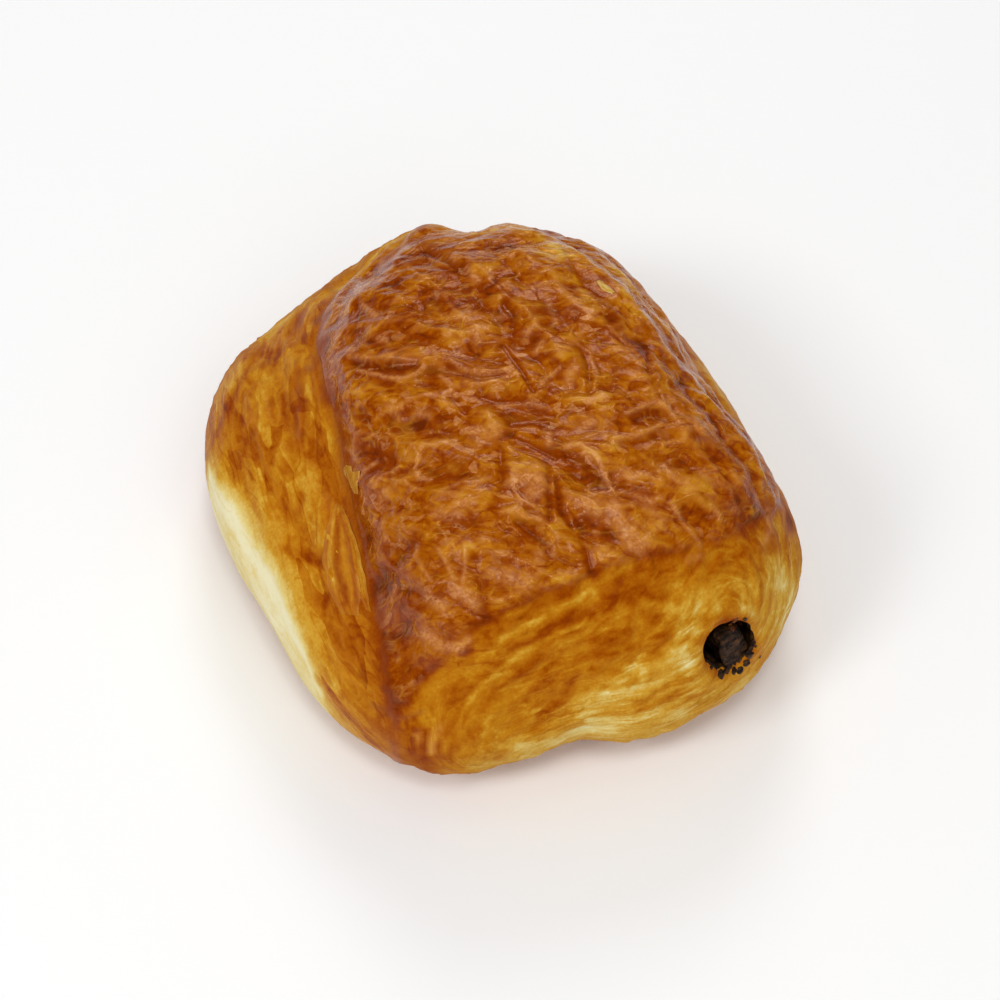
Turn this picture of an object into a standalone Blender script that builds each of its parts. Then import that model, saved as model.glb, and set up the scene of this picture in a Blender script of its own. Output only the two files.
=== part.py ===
"""Pain au chocolat: a roll of laminated dough baked round one baton of chocolate.

Metres, +Z up. The roll's axis lies along Y and its shown end faces -Y. The base is flat at z = 0.
The broad crusted roll stands at +X, and the lower smooth shoulder of dough lies at -X.
"""

import math

import bmesh
import bpy
import numpy as np
from mathutils import Vector, noise

MM = 0.001

# The lower lobe of dough, which makes the base and the left shoulder
LOBE_CENTRE = (0.0, 0.0, 14.1 * MM)
LOBE_HALF = (43.0 * MM, 46.5 * MM, 18.5 * MM)
LOBE_PLAN_POWER = 3.0
LOBE_UPPER_POWER = 2.1
LOBE_LOWER_POWER = 3.6
LOBE_TURN = 0.0
REACH_BELOW = 1.2 * MM

# The upper dome, which carries the crusted roll and makes the round end faces
DOME_CENTRE = (7.3 * MM, -1.7 * MM, 16.2 * MM)
DOME_HALF = (27.1 * MM, 49.6 * MM, 23.0 * MM)
DOME_PLAN_POWER = 2.34
DOME_POWER = 2.9
DOME_TURN = 0.114

# The crusted roll on top: its right edge is straight and its left edge runs at a slant
ROLL_RIGHT_EDGE = 36.2 * MM
ROLL_HALF_WIDTH = 31.0 * MM
ROLL_HALF_LENGTH = 37.7 * MM
ROLL_MIDDLE_Y = -4.4 * MM
ROLL_MIDDLE_Z = 22.4 * MM
ROLL_HALF_HEIGHT = 21.4 * MM
ROLL_TAPER = 0.106
ROLL_PLAN_POWER = 3.6
ROLL_POWER = 3.06

# How softly the lobes run into each other and into the flat base
FIELD_SIZE = 20.0 * MM
LOBE_BLEND = 5.0 * MM
ROLL_BLEND_AT_CREASE = 2.5 * MM
ROLL_BLEND_ELSEWHERE = 6.0 * MM
BLEND_NEAR = 3.0 * MM
BLEND_FAR = 14.0 * MM
FRONT_START = 18.0 * MM
FRONT_END = 34.0 * MM
BASE_BLEND = 0.8 * MM

# The seed form that the body is blown up from
SEED_CENTRE = (0.0, 0.0, 16.0 * MM)
SEED_HALF = (45.0 * MM, 41.0 * MM, 18.0 * MM)
SEED_REACH = 2.2
BODY_CUTS = 57
BODY_KEEP = 0.262
HALVINGS = 26

# Hollows and swellings of the baked body in mm: place, spread and depth (inwards is positive)
HOLLOWS = (
    ((-7.5, -48.0, 6.5), (3.0, 7.0, 9.0), 1.8),
    ((13.0, -51.5, 8.7), (6.0, 6.0, 9.0), 0.55),
    ((29.0, -46.0, 11.5), (7.0, 7.0, 9.0), 0.6),
    ((-19.5, -45.0, 6.5), (3.5, 5.0, 7.0), 1.0),
    ((-43.0, -8.0, 8.5), (6.0, 9.0, 9.0), 0.6),
    ((-37.0, 33.0, 16.0), (5.0, 6.0, 8.0), 0.6),
    ((-4.0, 42.0, 32.0), (4.0, 6.0, 6.0), 1.1),
    ((13.5, 39.5, 32.0), (3.5, 5.0, 6.0), 1.15),
    ((19.5, 33.0, 37.5), (4.0, 4.0, 4.0), -0.5),
    ((31.0, 17.0, 38.0), (3.5, 4.0, 4.0), -0.5),
    ((32.5, -2.9, 38.0), (4.0, 5.0, 4.0), 0.65),
    ((36.3, -12.0, 32.3), (6.0, 5.0, 5.0), 1.1),
    ((31.7, -14.0, 38.3), (3.5, 4.0, 4.0), 0.55),
    ((35.0, -23.0, 31.0), (4.0, 4.0, 5.0), 0.5),
    ((41.0, -19.0, 20.0), (6.0, 5.0, 6.0), 0.6),
    ((34.5, -38.2, 16.4), (5.0, 5.0, 6.0), -0.5),
)

# Folds of the crust in mm, seen from above: start, end, half width and height (ridges rise)
FOLDS = (
    ((-17.1, 16.3), (-9.3, 5.7), 1.5, -1.1),
    ((-18.6, 14.2), (-10.0, 3.4), 1.0, 0.5),
    ((-7.4, 7.5), (2.9, -1.3), 1.4, -0.9),
    ((-2.7, -1.7), (1.4, -6.1), 1.3, -0.9),
    ((-0.5, -6.0), (5.3, -13.3), 1.6, -1.4),
    ((7.5, -9.1), (10.1, -12.5), 1.5, -1.2),
    ((11.3, -18.1), (25.1, -17.1), 1.4, 0.9),
    ((12.5, -20.5), (25.0, -19.5), 1.2, -0.5),
    ((4.6, -16.4), (10.0, -21.0), 1.3, 0.8),
    ((10.0, -21.0), (7.0, -25.6), 1.3, 0.7),
    ((-16.0, 30.0), (0.0, 22.0), 2.2, -0.8),
    ((2.0, 33.0), (18.0, 20.0), 2.4, 0.7),
    ((20.0, 6.0), (30.0, -6.0), 2.0, 0.6),
)

# Flakes that lift where the roll meets the shoulder, in mm: place, spread and height
FLAKES = (
    ((-30.4, -10.5, 29.2), (1.7, 6.4, 4.0), 1.0),
    ((-28.6, -4.5, 32.0), (1.0, 3.2, 3.0), 0.6),
    ((-20.8, 22.0, 33.5), (1.4, 5.0, 4.0), 0.6),
    ((-33.2, -26.0, 23.5), (1.4, 4.6, 4.0), 0.6),
)

# The groove between the roll and the shoulder, seen from above: Y and X in mm, and strength
CREASE_PATH = (
    (-48.0, -38.0, 0.25),
    (-39.0, -35.7, 0.35),
    (-24.7, -31.0, 0.9),
    (-14.5, -28.4, 1.0),
    (4.4, -23.7, 1.0),
    (28.3, -17.7, 1.0),
    (36.0, -12.5, 0.9),
    (44.0, -5.0, 0.8),
    (50.0, 0.0, 0.6),
)
CREASE_DEPTH = 1.1 * MM
CREASE_HALF_WIDTH = 1.2 * MM
LIP_HEIGHT = 0.6 * MM
LIP_OFFSET = 2.6 * MM
CREASE_SLANT = 0.94
CREASE_LOW = 10.0 * MM
CREASE_HIGH = 18.0 * MM

# Blisters of the crust and softer waves of the sides
BLISTER_SIZE = 6.5 * MM
BLISTER_HEIGHT = 0.75 * MM
FINE_BLISTER_RATIO = 1.9
FINE_BLISTER_SHARE = 0.5
CRUST_MARGIN = 2.0 * MM
CRUST_LOW = 20.0 * MM
CRUST_HIGH = 33.0 * MM
FOLD_LOW = 30.0 * MM
FOLD_HIGH = 36.0 * MM
WAVE_SIZE = 15.0 * MM
WAVE_HEIGHT = 0.45 * MM
NOISE_OFFSET = Vector((3.7, 11.2, 5.9))

# Dough layers that show on the end faces, as rings round the two roll centres
LAYER_PITCH = 4.2 * MM
LAYER_HEIGHT = 0.26 * MM
LAYER_WANDER = 2.4 * MM
LAYER_WANDER_SIZE = 9.4 * MM
LAYER_HIGH = 35.0 * MM
LAYER_END = 38.0 * MM
LEFT_ROLL = (-20.4 * MM, 20.0 * MM)
RIGHT_ROLL = (17.0 * MM, 21.0 * MM)
END_FACE_START = 36.0 * MM
END_FACE_FADE = 6.0 * MM

# The base stays flat: no relief below the first height, all of it above the second
STILL_BELOW = 0.3 * MM
RELIEF_ABOVE = 4.0 * MM
FLATTEN_BELOW = 0.05 * MM

# Moves the finished pastry so that the origin lies under the middle of its box
CENTRING = Vector((-0.13 * MM, 0.94 * MM, 0.0))

# The baton of chocolate, an upright bar that leans to the left
BATON_CENTRE = (17.9 * MM, 19.5 * MM)
BATON_HALF = (5.2 * MM, 2.6 * MM)
BATON_LEAN = math.radians(106.0)
BATON_FRONT = -46.4 * MM
BATON_BACK = 45.6 * MM
BATON_SIDES = 20
BATON_RINGS = 15
BATON_POWER = 3.0
BATON_END_SHRINK = (0.72, 0.95)
BATON_UNEVEN = 0.06
BATON_WAVES = 31.0
FIT_GAP = 0.35 * MM

# Stations of the tunnel: Y, centre X and Z, the two half sizes, and the lean of the longer one
TUNNEL_SIDES = 24
TUNNEL_LEAN = math.radians(-74.0)
TUNNEL_MOUTH_FRONT = (
    (-60.0, 16.1, 23.5, 6.3, 4.1, -49.0),
    (-49.0, 16.1, 23.5, 6.2, 4.1, -49.0),
    (-46.6, 16.7, 21.2, 6.7, 4.4, -62.0),
    (-43.5, 17.5, 19.9, 6.2, 3.7, -70.0),
)
TUNNEL_MOUTH_BACK = (
    (44.0, 17.9, 19.5, 5.8, 3.1, -74.0),
    (48.0, 17.5, 20.4, 6.6, 3.9, -72.0),
    (60.0, 17.0, 21.0, 6.8, 4.2, -70.0),
)
TUNNEL_FIT_FRONT = -39.0
TUNNEL_FIT_BACK = 41.0

# Finishes
CRUST_COLOUR = (0.36, 0.125, 0.022, 1.0)
CRUST_ROUGHNESS = 0.42
CHOCOLATE_COLOUR = (0.035, 0.016, 0.008, 1.0)
CHOCOLATE_ROUGHNESS = 0.6


def clear_scene():
    """Remove the objects that the file opened with."""
    for item in list(bpy.data.objects):
        bpy.data.objects.remove(item, do_unlink=True)


def new_collection(name):
    """Make a collection and link it to the scene."""
    group = bpy.data.collections.new(name)
    bpy.context.scene.collection.children.link(group)
    return group


def place_object(name, mesh, group):
    """Put a mesh in a collection, centred with the rest of the pastry."""
    piece = bpy.data.objects.new(name, mesh)
    piece.location = CENTRING
    group.objects.link(piece)
    return piece


def new_material(name, colour, roughness):
    """Make a plain non-metal material."""
    material = bpy.data.materials.new(name)
    material.use_nodes = True
    shader = material.node_tree.nodes["Principled BSDF"]
    shader.inputs["Base Color"].default_value = colour
    shader.inputs["Roughness"].default_value = roughness
    shader.inputs["Metallic"].default_value = 0.0
    return material


def soft_step(value, start, end):
    """Rise smoothly from 0 at start to 1 at end."""
    share = np.clip((value - start) / (end - start), 0.0, 1.0)
    return share * share * (3.0 - 2.0 * share)


def soft_union(first, second, radius):
    """Join two fields with a rounded valley of the given radius."""
    share = np.clip(0.5 + 0.5 * (second - first) / radius, 0.0, 1.0)
    return second + (first - second) * share - radius * share * (1.0 - share)


def block_field(across, along, up, power_plan, power_side):
    """Field of a rounded block from its three scaled coordinates."""
    plan = (across**power_plan + along**power_plan) ** (1.0 / power_plan)
    return ((plan**power_side + up**power_side) ** (1.0 / power_side) - 1.0) * FIELD_SIZE


def turned_lobe(points, centre, half, turn, plan_power, upper_power, lower_power):
    """Field of a lobe that is turned in plan and is fuller below its middle."""
    offset = points - np.array(centre)
    cosine = math.cos(turn)
    sine = math.sin(turn)
    across = np.abs(offset[:, 0] * cosine + offset[:, 1] * sine) / half[0]
    along = np.abs(offset[:, 1] * cosine - offset[:, 0] * sine) / half[1]
    above = offset[:, 2] > 0.0
    below_reach = centre[2] + REACH_BELOW
    up = np.where(above, offset[:, 2] / half[2], -offset[:, 2] / below_reach)
    power = np.where(above, upper_power, lower_power)
    return block_field(across, along, up, plan_power, power)


def shoulder_field(points):
    """Field of the dough body without the crusted roll."""
    lobe = turned_lobe(
        points, LOBE_CENTRE, LOBE_HALF, LOBE_TURN,
        LOBE_PLAN_POWER, LOBE_UPPER_POWER, LOBE_LOWER_POWER,
    )
    dome = turned_lobe(
        points, DOME_CENTRE, DOME_HALF, DOME_TURN,
        DOME_PLAN_POWER, DOME_POWER, DOME_POWER,
    )
    return soft_union(lobe, dome, LOBE_BLEND)


def roll_field(points):
    """Field of the crusted roll, whose left edge slants."""
    along = (points[:, 1] - ROLL_MIDDLE_Y) / ROLL_HALF_LENGTH
    half_width = ROLL_HALF_WIDTH * (1.0 - ROLL_TAPER * np.clip(along, -1.1, 1.1))
    across = np.abs(points[:, 0] - (ROLL_RIGHT_EDGE - half_width)) / half_width
    height = points[:, 2] - ROLL_MIDDLE_Z
    below_reach = ROLL_MIDDLE_Z + REACH_BELOW
    up = np.where(height > 0.0, height / ROLL_HALF_HEIGHT, -height / below_reach)
    return block_field(across, np.abs(along), up, ROLL_PLAN_POWER, ROLL_POWER)


def crease_distance(points):
    """Distance across the crease, positive on the roll's side, and the crease's strength."""
    along, across, strength = np.array(CREASE_PATH).T
    y = points[:, 1] / MM
    line = np.interp(y, along, across) * MM
    return (points[:, 0] - line) * CREASE_SLANT, np.interp(y, along, strength)


def body_field(points):
    """Field of the whole body, cut flat at the base."""
    to_crease = crease_distance(points)[0]
    away = soft_step(np.abs(to_crease), BLEND_NEAR, BLEND_FAR)
    forward = soft_step(-points[:, 1], FRONT_START, FRONT_END)
    spread = ROLL_BLEND_ELSEWHERE - ROLL_BLEND_AT_CREASE
    radius = ROLL_BLEND_AT_CREASE + spread * np.maximum(away, forward)
    body = soft_union(shoulder_field(points), roll_field(points), radius)
    return -soft_union(-body, points[:, 2], BASE_BLEND)


def blow_up(directions):
    """Push each direction out from the seed's centre to the body's skin, by halving."""
    centre = np.array(SEED_CENTRE)
    rays = directions * np.array(SEED_HALF)
    inner = np.zeros(len(rays))
    outer = np.full(len(rays), SEED_REACH)
    for _ in range(HALVINGS):
        middle = (inner + outer) / 2.0
        inside = body_field(centre + rays * middle[:, None]) < 0.0
        inner = np.where(inside, middle, inner)
        outer = np.where(inside, outer, middle)
    return centre + rays * ((inner + outer) / 2.0)[:, None]


def mound(points, centre, spread):
    """Bell-shaped weight round a place given in millimetres."""
    scaled = (points - np.array(centre) * MM) / (np.array(spread) * MM)
    return np.exp(-0.5 * (scaled**2).sum(axis=1))


def hollow_relief(points):
    """Hollows and swellings of the body."""
    height = np.zeros(len(points))
    for centre, spread, depth in HOLLOWS:
        height -= depth * MM * mound(points, centre, spread)
    for centre, spread, rise in FLAKES:
        height += rise * MM * mound(points, centre, spread)
    return height


def crease_relief(points):
    """The groove along the roll's left edge, with a lip on the roll's side."""
    distance, strength = crease_distance(points)
    groove = -CREASE_DEPTH * np.exp(-((distance / CREASE_HALF_WIDTH) ** 2))
    lip = LIP_HEIGHT * np.exp(-(((distance - LIP_OFFSET) / CREASE_HALF_WIDTH) ** 2))
    raised = soft_step(points[:, 2], CREASE_LOW, CREASE_HIGH)
    return (groove + lip) * strength * raised


def fold_relief(points):
    """Named ridges and valleys of the crust, each along a straight run."""
    height = np.zeros(len(points))
    plan = points[:, :2] / MM
    for start, end, half_width, rise in FOLDS:
        run = np.subtract(end, start)
        share = np.clip((plan - start) @ run / (run @ run), 0.0, 1.0)
        distance = np.linalg.norm(plan - start - share[:, None] * run, axis=1)
        height += rise * MM * np.exp(-0.5 * (distance / half_width) ** 2)
    return height * soft_step(points[:, 2], FOLD_LOW, FOLD_HIGH)


def noise_relief(points):
    """Blisters on the crusted roll and soft waves on the sides."""
    crust = soft_step(shoulder_field(points) - roll_field(points), 0.0, CRUST_MARGIN)
    crust *= soft_step(points[:, 2], CRUST_LOW, CRUST_HIGH)
    height = np.zeros(len(points))
    for index, point in enumerate(points):
        place = Vector(point)
        wave = noise.noise(place / WAVE_SIZE + NOISE_OFFSET)
        blister = noise.noise(place / BLISTER_SIZE - NOISE_OFFSET)
        fine = noise.noise(place / BLISTER_SIZE * FINE_BLISTER_RATIO + NOISE_OFFSET)
        blister += FINE_BLISTER_SHARE * fine
        height[index] = WAVE_HEIGHT * wave + BLISTER_HEIGHT * blister * crust[index]
    return height


def ring_distance(points):
    """Distance in the end view from the line that joins the two roll centres."""
    left = np.array(LEFT_ROLL)
    run = np.array(RIGHT_ROLL) - left
    end_view = points[:, [0, 2]]
    share = np.clip((end_view - left) @ run / (run @ run), 0.0, 1.0)
    return np.linalg.norm(end_view - left - share[:, None] * run, axis=1)


def layer_relief(points):
    """Edges of the dough layers, as low rings on both end faces."""
    wander = [noise.noise(Vector(point) / LAYER_WANDER_SIZE) for point in points]
    distance = ring_distance(points) + LAYER_WANDER * np.array(wander)
    rings = np.sin(distance * 2.0 * math.pi / LAYER_PITCH)
    reach = np.abs(points[:, 1])
    on_end = soft_step(reach, END_FACE_START, END_FACE_START + END_FACE_FADE)
    below_crust = 1.0 - soft_step(points[:, 2], LAYER_HIGH, LAYER_END)
    return LAYER_HEIGHT * rings * on_end * below_crust


def shape_body(mesh):
    """Turn the cut cube into the baked body."""
    count = len(mesh.vertices)
    flat = np.empty(count * 3)
    mesh.vertices.foreach_get("co", flat)
    directions = np.tan(flat.reshape(-1, 3) * math.pi / 4.0)
    points = blow_up(directions)
    mesh.vertices.foreach_set("co", points.ravel())
    mesh.update()
    normals = np.empty(count * 3)
    mesh.vertex_normals.foreach_get("vector", normals)
    normals = normals.reshape(-1, 3)
    height = hollow_relief(points) + crease_relief(points) + fold_relief(points)
    height += noise_relief(points) + layer_relief(points)
    lifted = soft_step(points[:, 2], STILL_BELOW, RELIEF_ABOVE)
    points = points + normals * (height * lifted)[:, None]
    points[points[:, 2] < FLATTEN_BELOW, 2] = 0.0
    mesh.vertices.foreach_set("co", points.ravel())
    mesh.update()


def build_pastry(group, material):
    """Make the dough body from a cube that is cut fine and blown up."""
    mesh = bpy.data.meshes.new("pastry")
    cage = bmesh.new()
    bmesh.ops.create_cube(cage, size=2.0)
    bmesh.ops.subdivide_edges(cage, edges=cage.edges[:], cuts=BODY_CUTS, use_grid_fill=True)
    cage.to_mesh(mesh)
    cage.free()
    shape_body(mesh)
    mesh.materials.append(material)
    mesh.shade_smooth()
    pastry = place_object("pastry", mesh, group)
    thin = pastry.modifiers.new("Thin out flat areas", "DECIMATE")
    thin.ratio = BODY_KEEP
    return pastry


def oval_ring(angles, station):
    """Points of one oval section, in metres."""
    y, centre_x, centre_z, major, minor, lean = station
    lean = math.radians(lean)
    longer = np.cos(angles) * major
    shorter = np.sin(angles) * minor
    across = centre_x + longer * math.cos(lean) - shorter * math.sin(lean)
    upward = centre_z + longer * math.sin(lean) + shorter * math.cos(lean)
    return np.stack([across, np.full_like(angles, y), upward], axis=1) * MM


def baton_section(angles, swell):
    """Section of the baton in the XZ plane, a soft-cornered bar grown by swell."""
    cosine = np.cos(angles)
    sine = np.sin(angles)
    major = BATON_HALF[0] + swell
    minor = BATON_HALF[1] + swell
    reach = (np.abs(cosine / major) ** BATON_POWER + np.abs(sine / minor) ** BATON_POWER)
    radius = reach ** (-1.0 / BATON_POWER)
    longer = radius * cosine
    shorter = radius * sine
    across = BATON_CENTRE[0] + longer * math.cos(BATON_LEAN) - shorter * math.sin(BATON_LEAN)
    upward = BATON_CENTRE[1] + longer * math.sin(BATON_LEAN) + shorter * math.cos(BATON_LEAN)
    return across, upward


def ring_angles(sides):
    """Evenly spaced angles round a section."""
    return np.arange(sides) * 2.0 * math.pi / sides


def skin_rings(name, rings):
    """Skin a list of rings of equal length into one closed tube with flat ends."""
    mesh = bpy.data.meshes.new(name)
    shell = bmesh.new()
    sides = len(rings[0])
    bmesh.ops.create_cone(
        shell, cap_ends=True, segments=sides, radius1=1.0, radius2=1.0, depth=2.0
    )
    upright = [edge for edge in shell.edges if abs(edge.verts[0].co.z - edge.verts[1].co.z) > 1.0]
    bmesh.ops.subdivide_edges(shell, edges=upright, cuts=len(rings) - 2, use_grid_fill=True)
    last = len(rings) - 1
    for vertex in shell.verts:
        row = round((vertex.co.z + 1.0) / 2.0 * last)
        turn = math.atan2(vertex.co.y, vertex.co.x) % (2.0 * math.pi)
        column = round(turn / (2.0 * math.pi) * sides) % sides
        vertex.co = rings[row][column]
    bmesh.ops.recalc_face_normals(shell, faces=shell.faces[:])
    shell.to_mesh(mesh)
    shell.free()
    return mesh


def tunnel_rings():
    """Sections of the tunnel: wide at both mouths and close round the baton between."""
    angles = ring_angles(TUNNEL_SIDES)
    section_turn = angles - BATON_LEAN + TUNNEL_LEAN
    across, upward = baton_section(section_turn, FIT_GAP)
    rings = [oval_ring(angles, station) for station in TUNNEL_MOUTH_FRONT]
    for y in (TUNNEL_FIT_FRONT, TUNNEL_FIT_BACK):
        rings.append(np.stack([across, np.full_like(across, y * MM), upward], axis=1))
    rings += [oval_ring(angles, station) for station in TUNNEL_MOUTH_BACK]
    return rings


def build_tunnel(group):
    """Make the cutter for the tunnel that the baton lies in."""
    mesh = skin_rings("tunnel_cutter", tunnel_rings())
    cutter = place_object("tunnel_cutter", mesh, group)
    cutter.hide_render = True
    cutter.display_type = "WIRE"
    return cutter


def baton_size(index):
    """Share of the full section at one ring: melted round at the ends, uneven between."""
    last = BATON_RINGS - 1
    from_end = min(index, last - index)
    size = BATON_END_SHRINK[from_end] if from_end < len(BATON_END_SHRINK) else 1.0
    wave = 0.5 + 0.5 * math.sin(index / last * BATON_WAVES)
    return size - BATON_UNEVEN * wave


def build_baton(group, material):
    """Make the baton of chocolate from its sections."""
    angles = ring_angles(BATON_SIDES)
    across, upward = baton_section(angles, 0.0)
    rings = []
    for index in range(BATON_RINGS):
        shrink = baton_size(index)
        y = BATON_FRONT + (BATON_BACK - BATON_FRONT) * index / (BATON_RINGS - 1)
        ring_x = BATON_CENTRE[0] + (across - BATON_CENTRE[0]) * shrink
        ring_z = BATON_CENTRE[1] + (upward - BATON_CENTRE[1]) * shrink
        rings.append(np.stack([ring_x, np.full_like(ring_x, y), ring_z], axis=1))
    mesh = skin_rings("chocolate_stick", rings)
    mesh.materials.append(material)
    mesh.shade_smooth()
    return place_object("chocolate_stick", mesh, group)


def main():
    """Build the pastry and its baton."""
    clear_scene()
    parts = new_collection("pain_au_chocolat")
    cutters = new_collection("cutters")
    crust = new_material("baked_crust", CRUST_COLOUR, CRUST_ROUGHNESS)
    chocolate = new_material("dark_chocolate", CHOCOLATE_COLOUR, CHOCOLATE_ROUGHNESS)
    pastry = build_pastry(parts, crust)
    cut = pastry.modifiers.new("Tunnel for the baton", "BOOLEAN")
    cut.operation = "DIFFERENCE"
    cut.object = build_tunnel(cutters)
    build_baton(parts, chocolate)


main()
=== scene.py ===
"""Looks of a baked pain au chocolat: rolled dough, its glazed crumpled crust, and the baton inside.

The dough is worked out in millimetres in its own frame, with the roll's axis along Y and the shown
end facing -Y, and is then moved by CENTRING to where the solid stands.
"""

import logging
import math
from dataclasses import dataclass
from enum import Enum

import bmesh
import bpy
import numpy as np
from mathutils import Matrix, Vector
from mathutils.bvhtree import BVHTree


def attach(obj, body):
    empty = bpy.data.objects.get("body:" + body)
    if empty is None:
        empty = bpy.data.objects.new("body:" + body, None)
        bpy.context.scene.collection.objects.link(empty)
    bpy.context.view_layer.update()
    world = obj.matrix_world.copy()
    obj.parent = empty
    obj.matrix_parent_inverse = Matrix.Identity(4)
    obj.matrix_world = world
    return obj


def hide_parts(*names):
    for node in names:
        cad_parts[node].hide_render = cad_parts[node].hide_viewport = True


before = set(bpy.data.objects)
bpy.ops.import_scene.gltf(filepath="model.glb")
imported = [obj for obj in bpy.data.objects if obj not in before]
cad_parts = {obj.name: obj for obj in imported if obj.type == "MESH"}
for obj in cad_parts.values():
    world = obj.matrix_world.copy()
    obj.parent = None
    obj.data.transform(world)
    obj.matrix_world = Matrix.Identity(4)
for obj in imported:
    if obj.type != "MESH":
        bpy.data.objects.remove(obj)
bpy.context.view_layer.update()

LOG = logging.getLogger("pain_au_chocolat")
MM = 0.001
BODY = "root"
CENTRING = Vector((-0.13, 0.94, 0.0)) * MM
PHOTO_SIZE = 1000.0
FAR = 50.0
Pair = tuple[float, float]
Triple = tuple[float, float, float]
Screen = tuple[int, int, int]
Face = tuple[int, ...]
Socket = bpy.types.NodeSocket


def soft_step(value: np.ndarray, start: float, end: float) -> np.ndarray:
    """Rise smoothly from 0 at start to 1 at end.

    Args:
        value: Where to read the step.
        start: Where the rise starts.
        end: Where the rise ends.

    Returns:
        Shares from 0 to 1, one for each value.
    """
    share = np.clip((value - start) / (end - start), 0.0, 1.0)
    return share * share * (3.0 - 2.0 * share)


def soft_union(first: np.ndarray, second: np.ndarray, radius: np.ndarray | float) -> np.ndarray:
    """Join two fields with a rounded valley.

    Args:
        first: The one field.
        second: The other field.
        radius: Size of the rounded valley.

    Returns:
        The joined field.
    """
    share = np.clip(0.5 + 0.5 * (second - first) / radius, 0.0, 1.0)
    return second + (first - second) * share - radius * share * (1.0 - share)


def unit(vectors: np.ndarray) -> np.ndarray:
    """Scale each row to length one."""
    return vectors / np.linalg.norm(vectors, axis=-1, keepdims=True)


def bearing(turn: float, rise: float) -> Vector:
    """Direction that is turned from the front and raised from level.

    Args:
        turn: Angle round the upright axis, in degrees.
        rise: Angle above level, in degrees.

    Returns:
        A direction of length one.
    """
    turn, rise = math.radians(turn), math.radians(rise)
    flat = math.cos(rise)
    return Vector((math.sin(turn) * flat, -math.cos(turn) * flat, math.sin(rise)))


def grid_faces(numbers: np.ndarray, order: tuple[int, int, int, int], closed: bool = False) -> list[Face]:
    """Four-sided faces between the rows of a grid of vertices.

    Args:
        numbers: Vertex numbers, row by row.
        order: Turn in which a face takes its corner, the next row's, that one's neighbour and its own.
        closed: Whether each row is a ring.

    Returns:
        The faces.
    """
    if closed:
        numbers = np.hstack([numbers, numbers[:, :1]])
    corners = (numbers[:-1, :-1], numbers[1:, :-1], numbers[1:, 1:], numbers[:-1, 1:])
    return list(map(tuple, np.stack([corners[index].ravel() for index in order], axis=1).tolist()))


def ring_places(centre: Pair, half: tuple[np.ndarray, np.ndarray], lean: float, y: float) -> np.ndarray:
    """Places of a leaning ring across the roll.

    Args:
        centre: Its middle, as x and z.
        half: Reach of each place along the ring's long and short axes.
        lean: Angle of the long axis from level, in degrees.
        y: Where it is along the roll.

    Returns:
        One place in each row.
    """
    cosine, sine = math.cos(math.radians(lean)), math.sin(math.radians(lean))
    far, wide = half
    x, z = centre[0] + far * cosine - wide * sine, centre[1] + far * sine + wide * cosine
    return np.stack([x, np.full(len(x), y), z], axis=1)


class Grain:
    """Smooth gradient noise in three dimensions that is the same on every run."""

    CELLS = 256
    GAIN = 1.7
    RIDGE_FALL = 2.4
    RIDGE_ROUNDING = 0.0006

    def __init__(self, seed: int) -> None:
        """Draw the lattice's directions.

        Args:
            seed: Seed of the draw.
        """
        draw = np.random.default_rng(seed)
        self.order = draw.permutation(self.CELLS)
        self.slopes = unit(draw.standard_normal((self.CELLS, 3)))

    def _corner(self, cell: np.ndarray, offset: np.ndarray) -> np.ndarray:
        """Height that one lattice corner gives to each point.

        Args:
            cell: Whole-number place of the corner.
            offset: Vector from the corner to the point.

        Returns:
            One height for each point.
        """
        index = self.order[cell[:, 0] % self.CELLS]
        index = self.order[(index + cell[:, 1]) % self.CELLS]
        index = self.order[(index + cell[:, 2]) % self.CELLS]
        return (self.slopes[index] * offset).sum(axis=1)

    def at(self, points: np.ndarray, size: float | Triple) -> np.ndarray:
        """Noise at some points.

        Args:
            points: Places, one row each.
            size: Size of one lump, or one size for each axis.

        Returns:
            Values that mostly lie between -1 and 1.
        """
        place = points / np.asarray(size, float)
        cell = np.floor(place).astype(int)
        part = place - cell
        fade = part**3 * (part * (part * 6.0 - 15.0) + 10.0)
        total = np.zeros(len(points))
        for corner in range(8):
            step = np.array([corner & 1, (corner >> 1) & 1, (corner >> 2) & 1])
            weight = np.where(step, fade, 1.0 - fade).prod(axis=1)
            total += weight * self._corner(cell + step, part - step)
        return total * self.GAIN

    def ridged(self, points: np.ndarray, size: float | Triple) -> np.ndarray:
        """Noise folded at zero, so that thin crests run between smooth hollows."""
        return 1.0 - self.RIDGE_FALL * np.sqrt(self.at(points, size) ** 2 + self.RIDGE_ROUNDING)


@dataclass(frozen=True)
class Noise:
    """A sum of smooth noises, each a share and a lump size in millimetres, kept between two limits."""

    seed: int
    parts: tuple[tuple[float, float | Triple], ...]
    middle: float = 0.0
    low: float = -math.inf
    high: float = math.inf
    stretch: Triple = (1.0, 1.0, 1.0)
    shift: float = 0.0

    def at(self, points: np.ndarray) -> np.ndarray:
        """Value of the sum at some points.

        Args:
            points: Places to read, one row each.

        Returns:
            One value for each place.
        """
        grain = Grain(self.seed)
        places = points * self.stretch + self.shift
        total = np.full(len(places), self.middle)
        for share, size in self.parts:
            total += share * grain.at(places, size)
        return np.clip(total, self.low, self.high)


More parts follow.
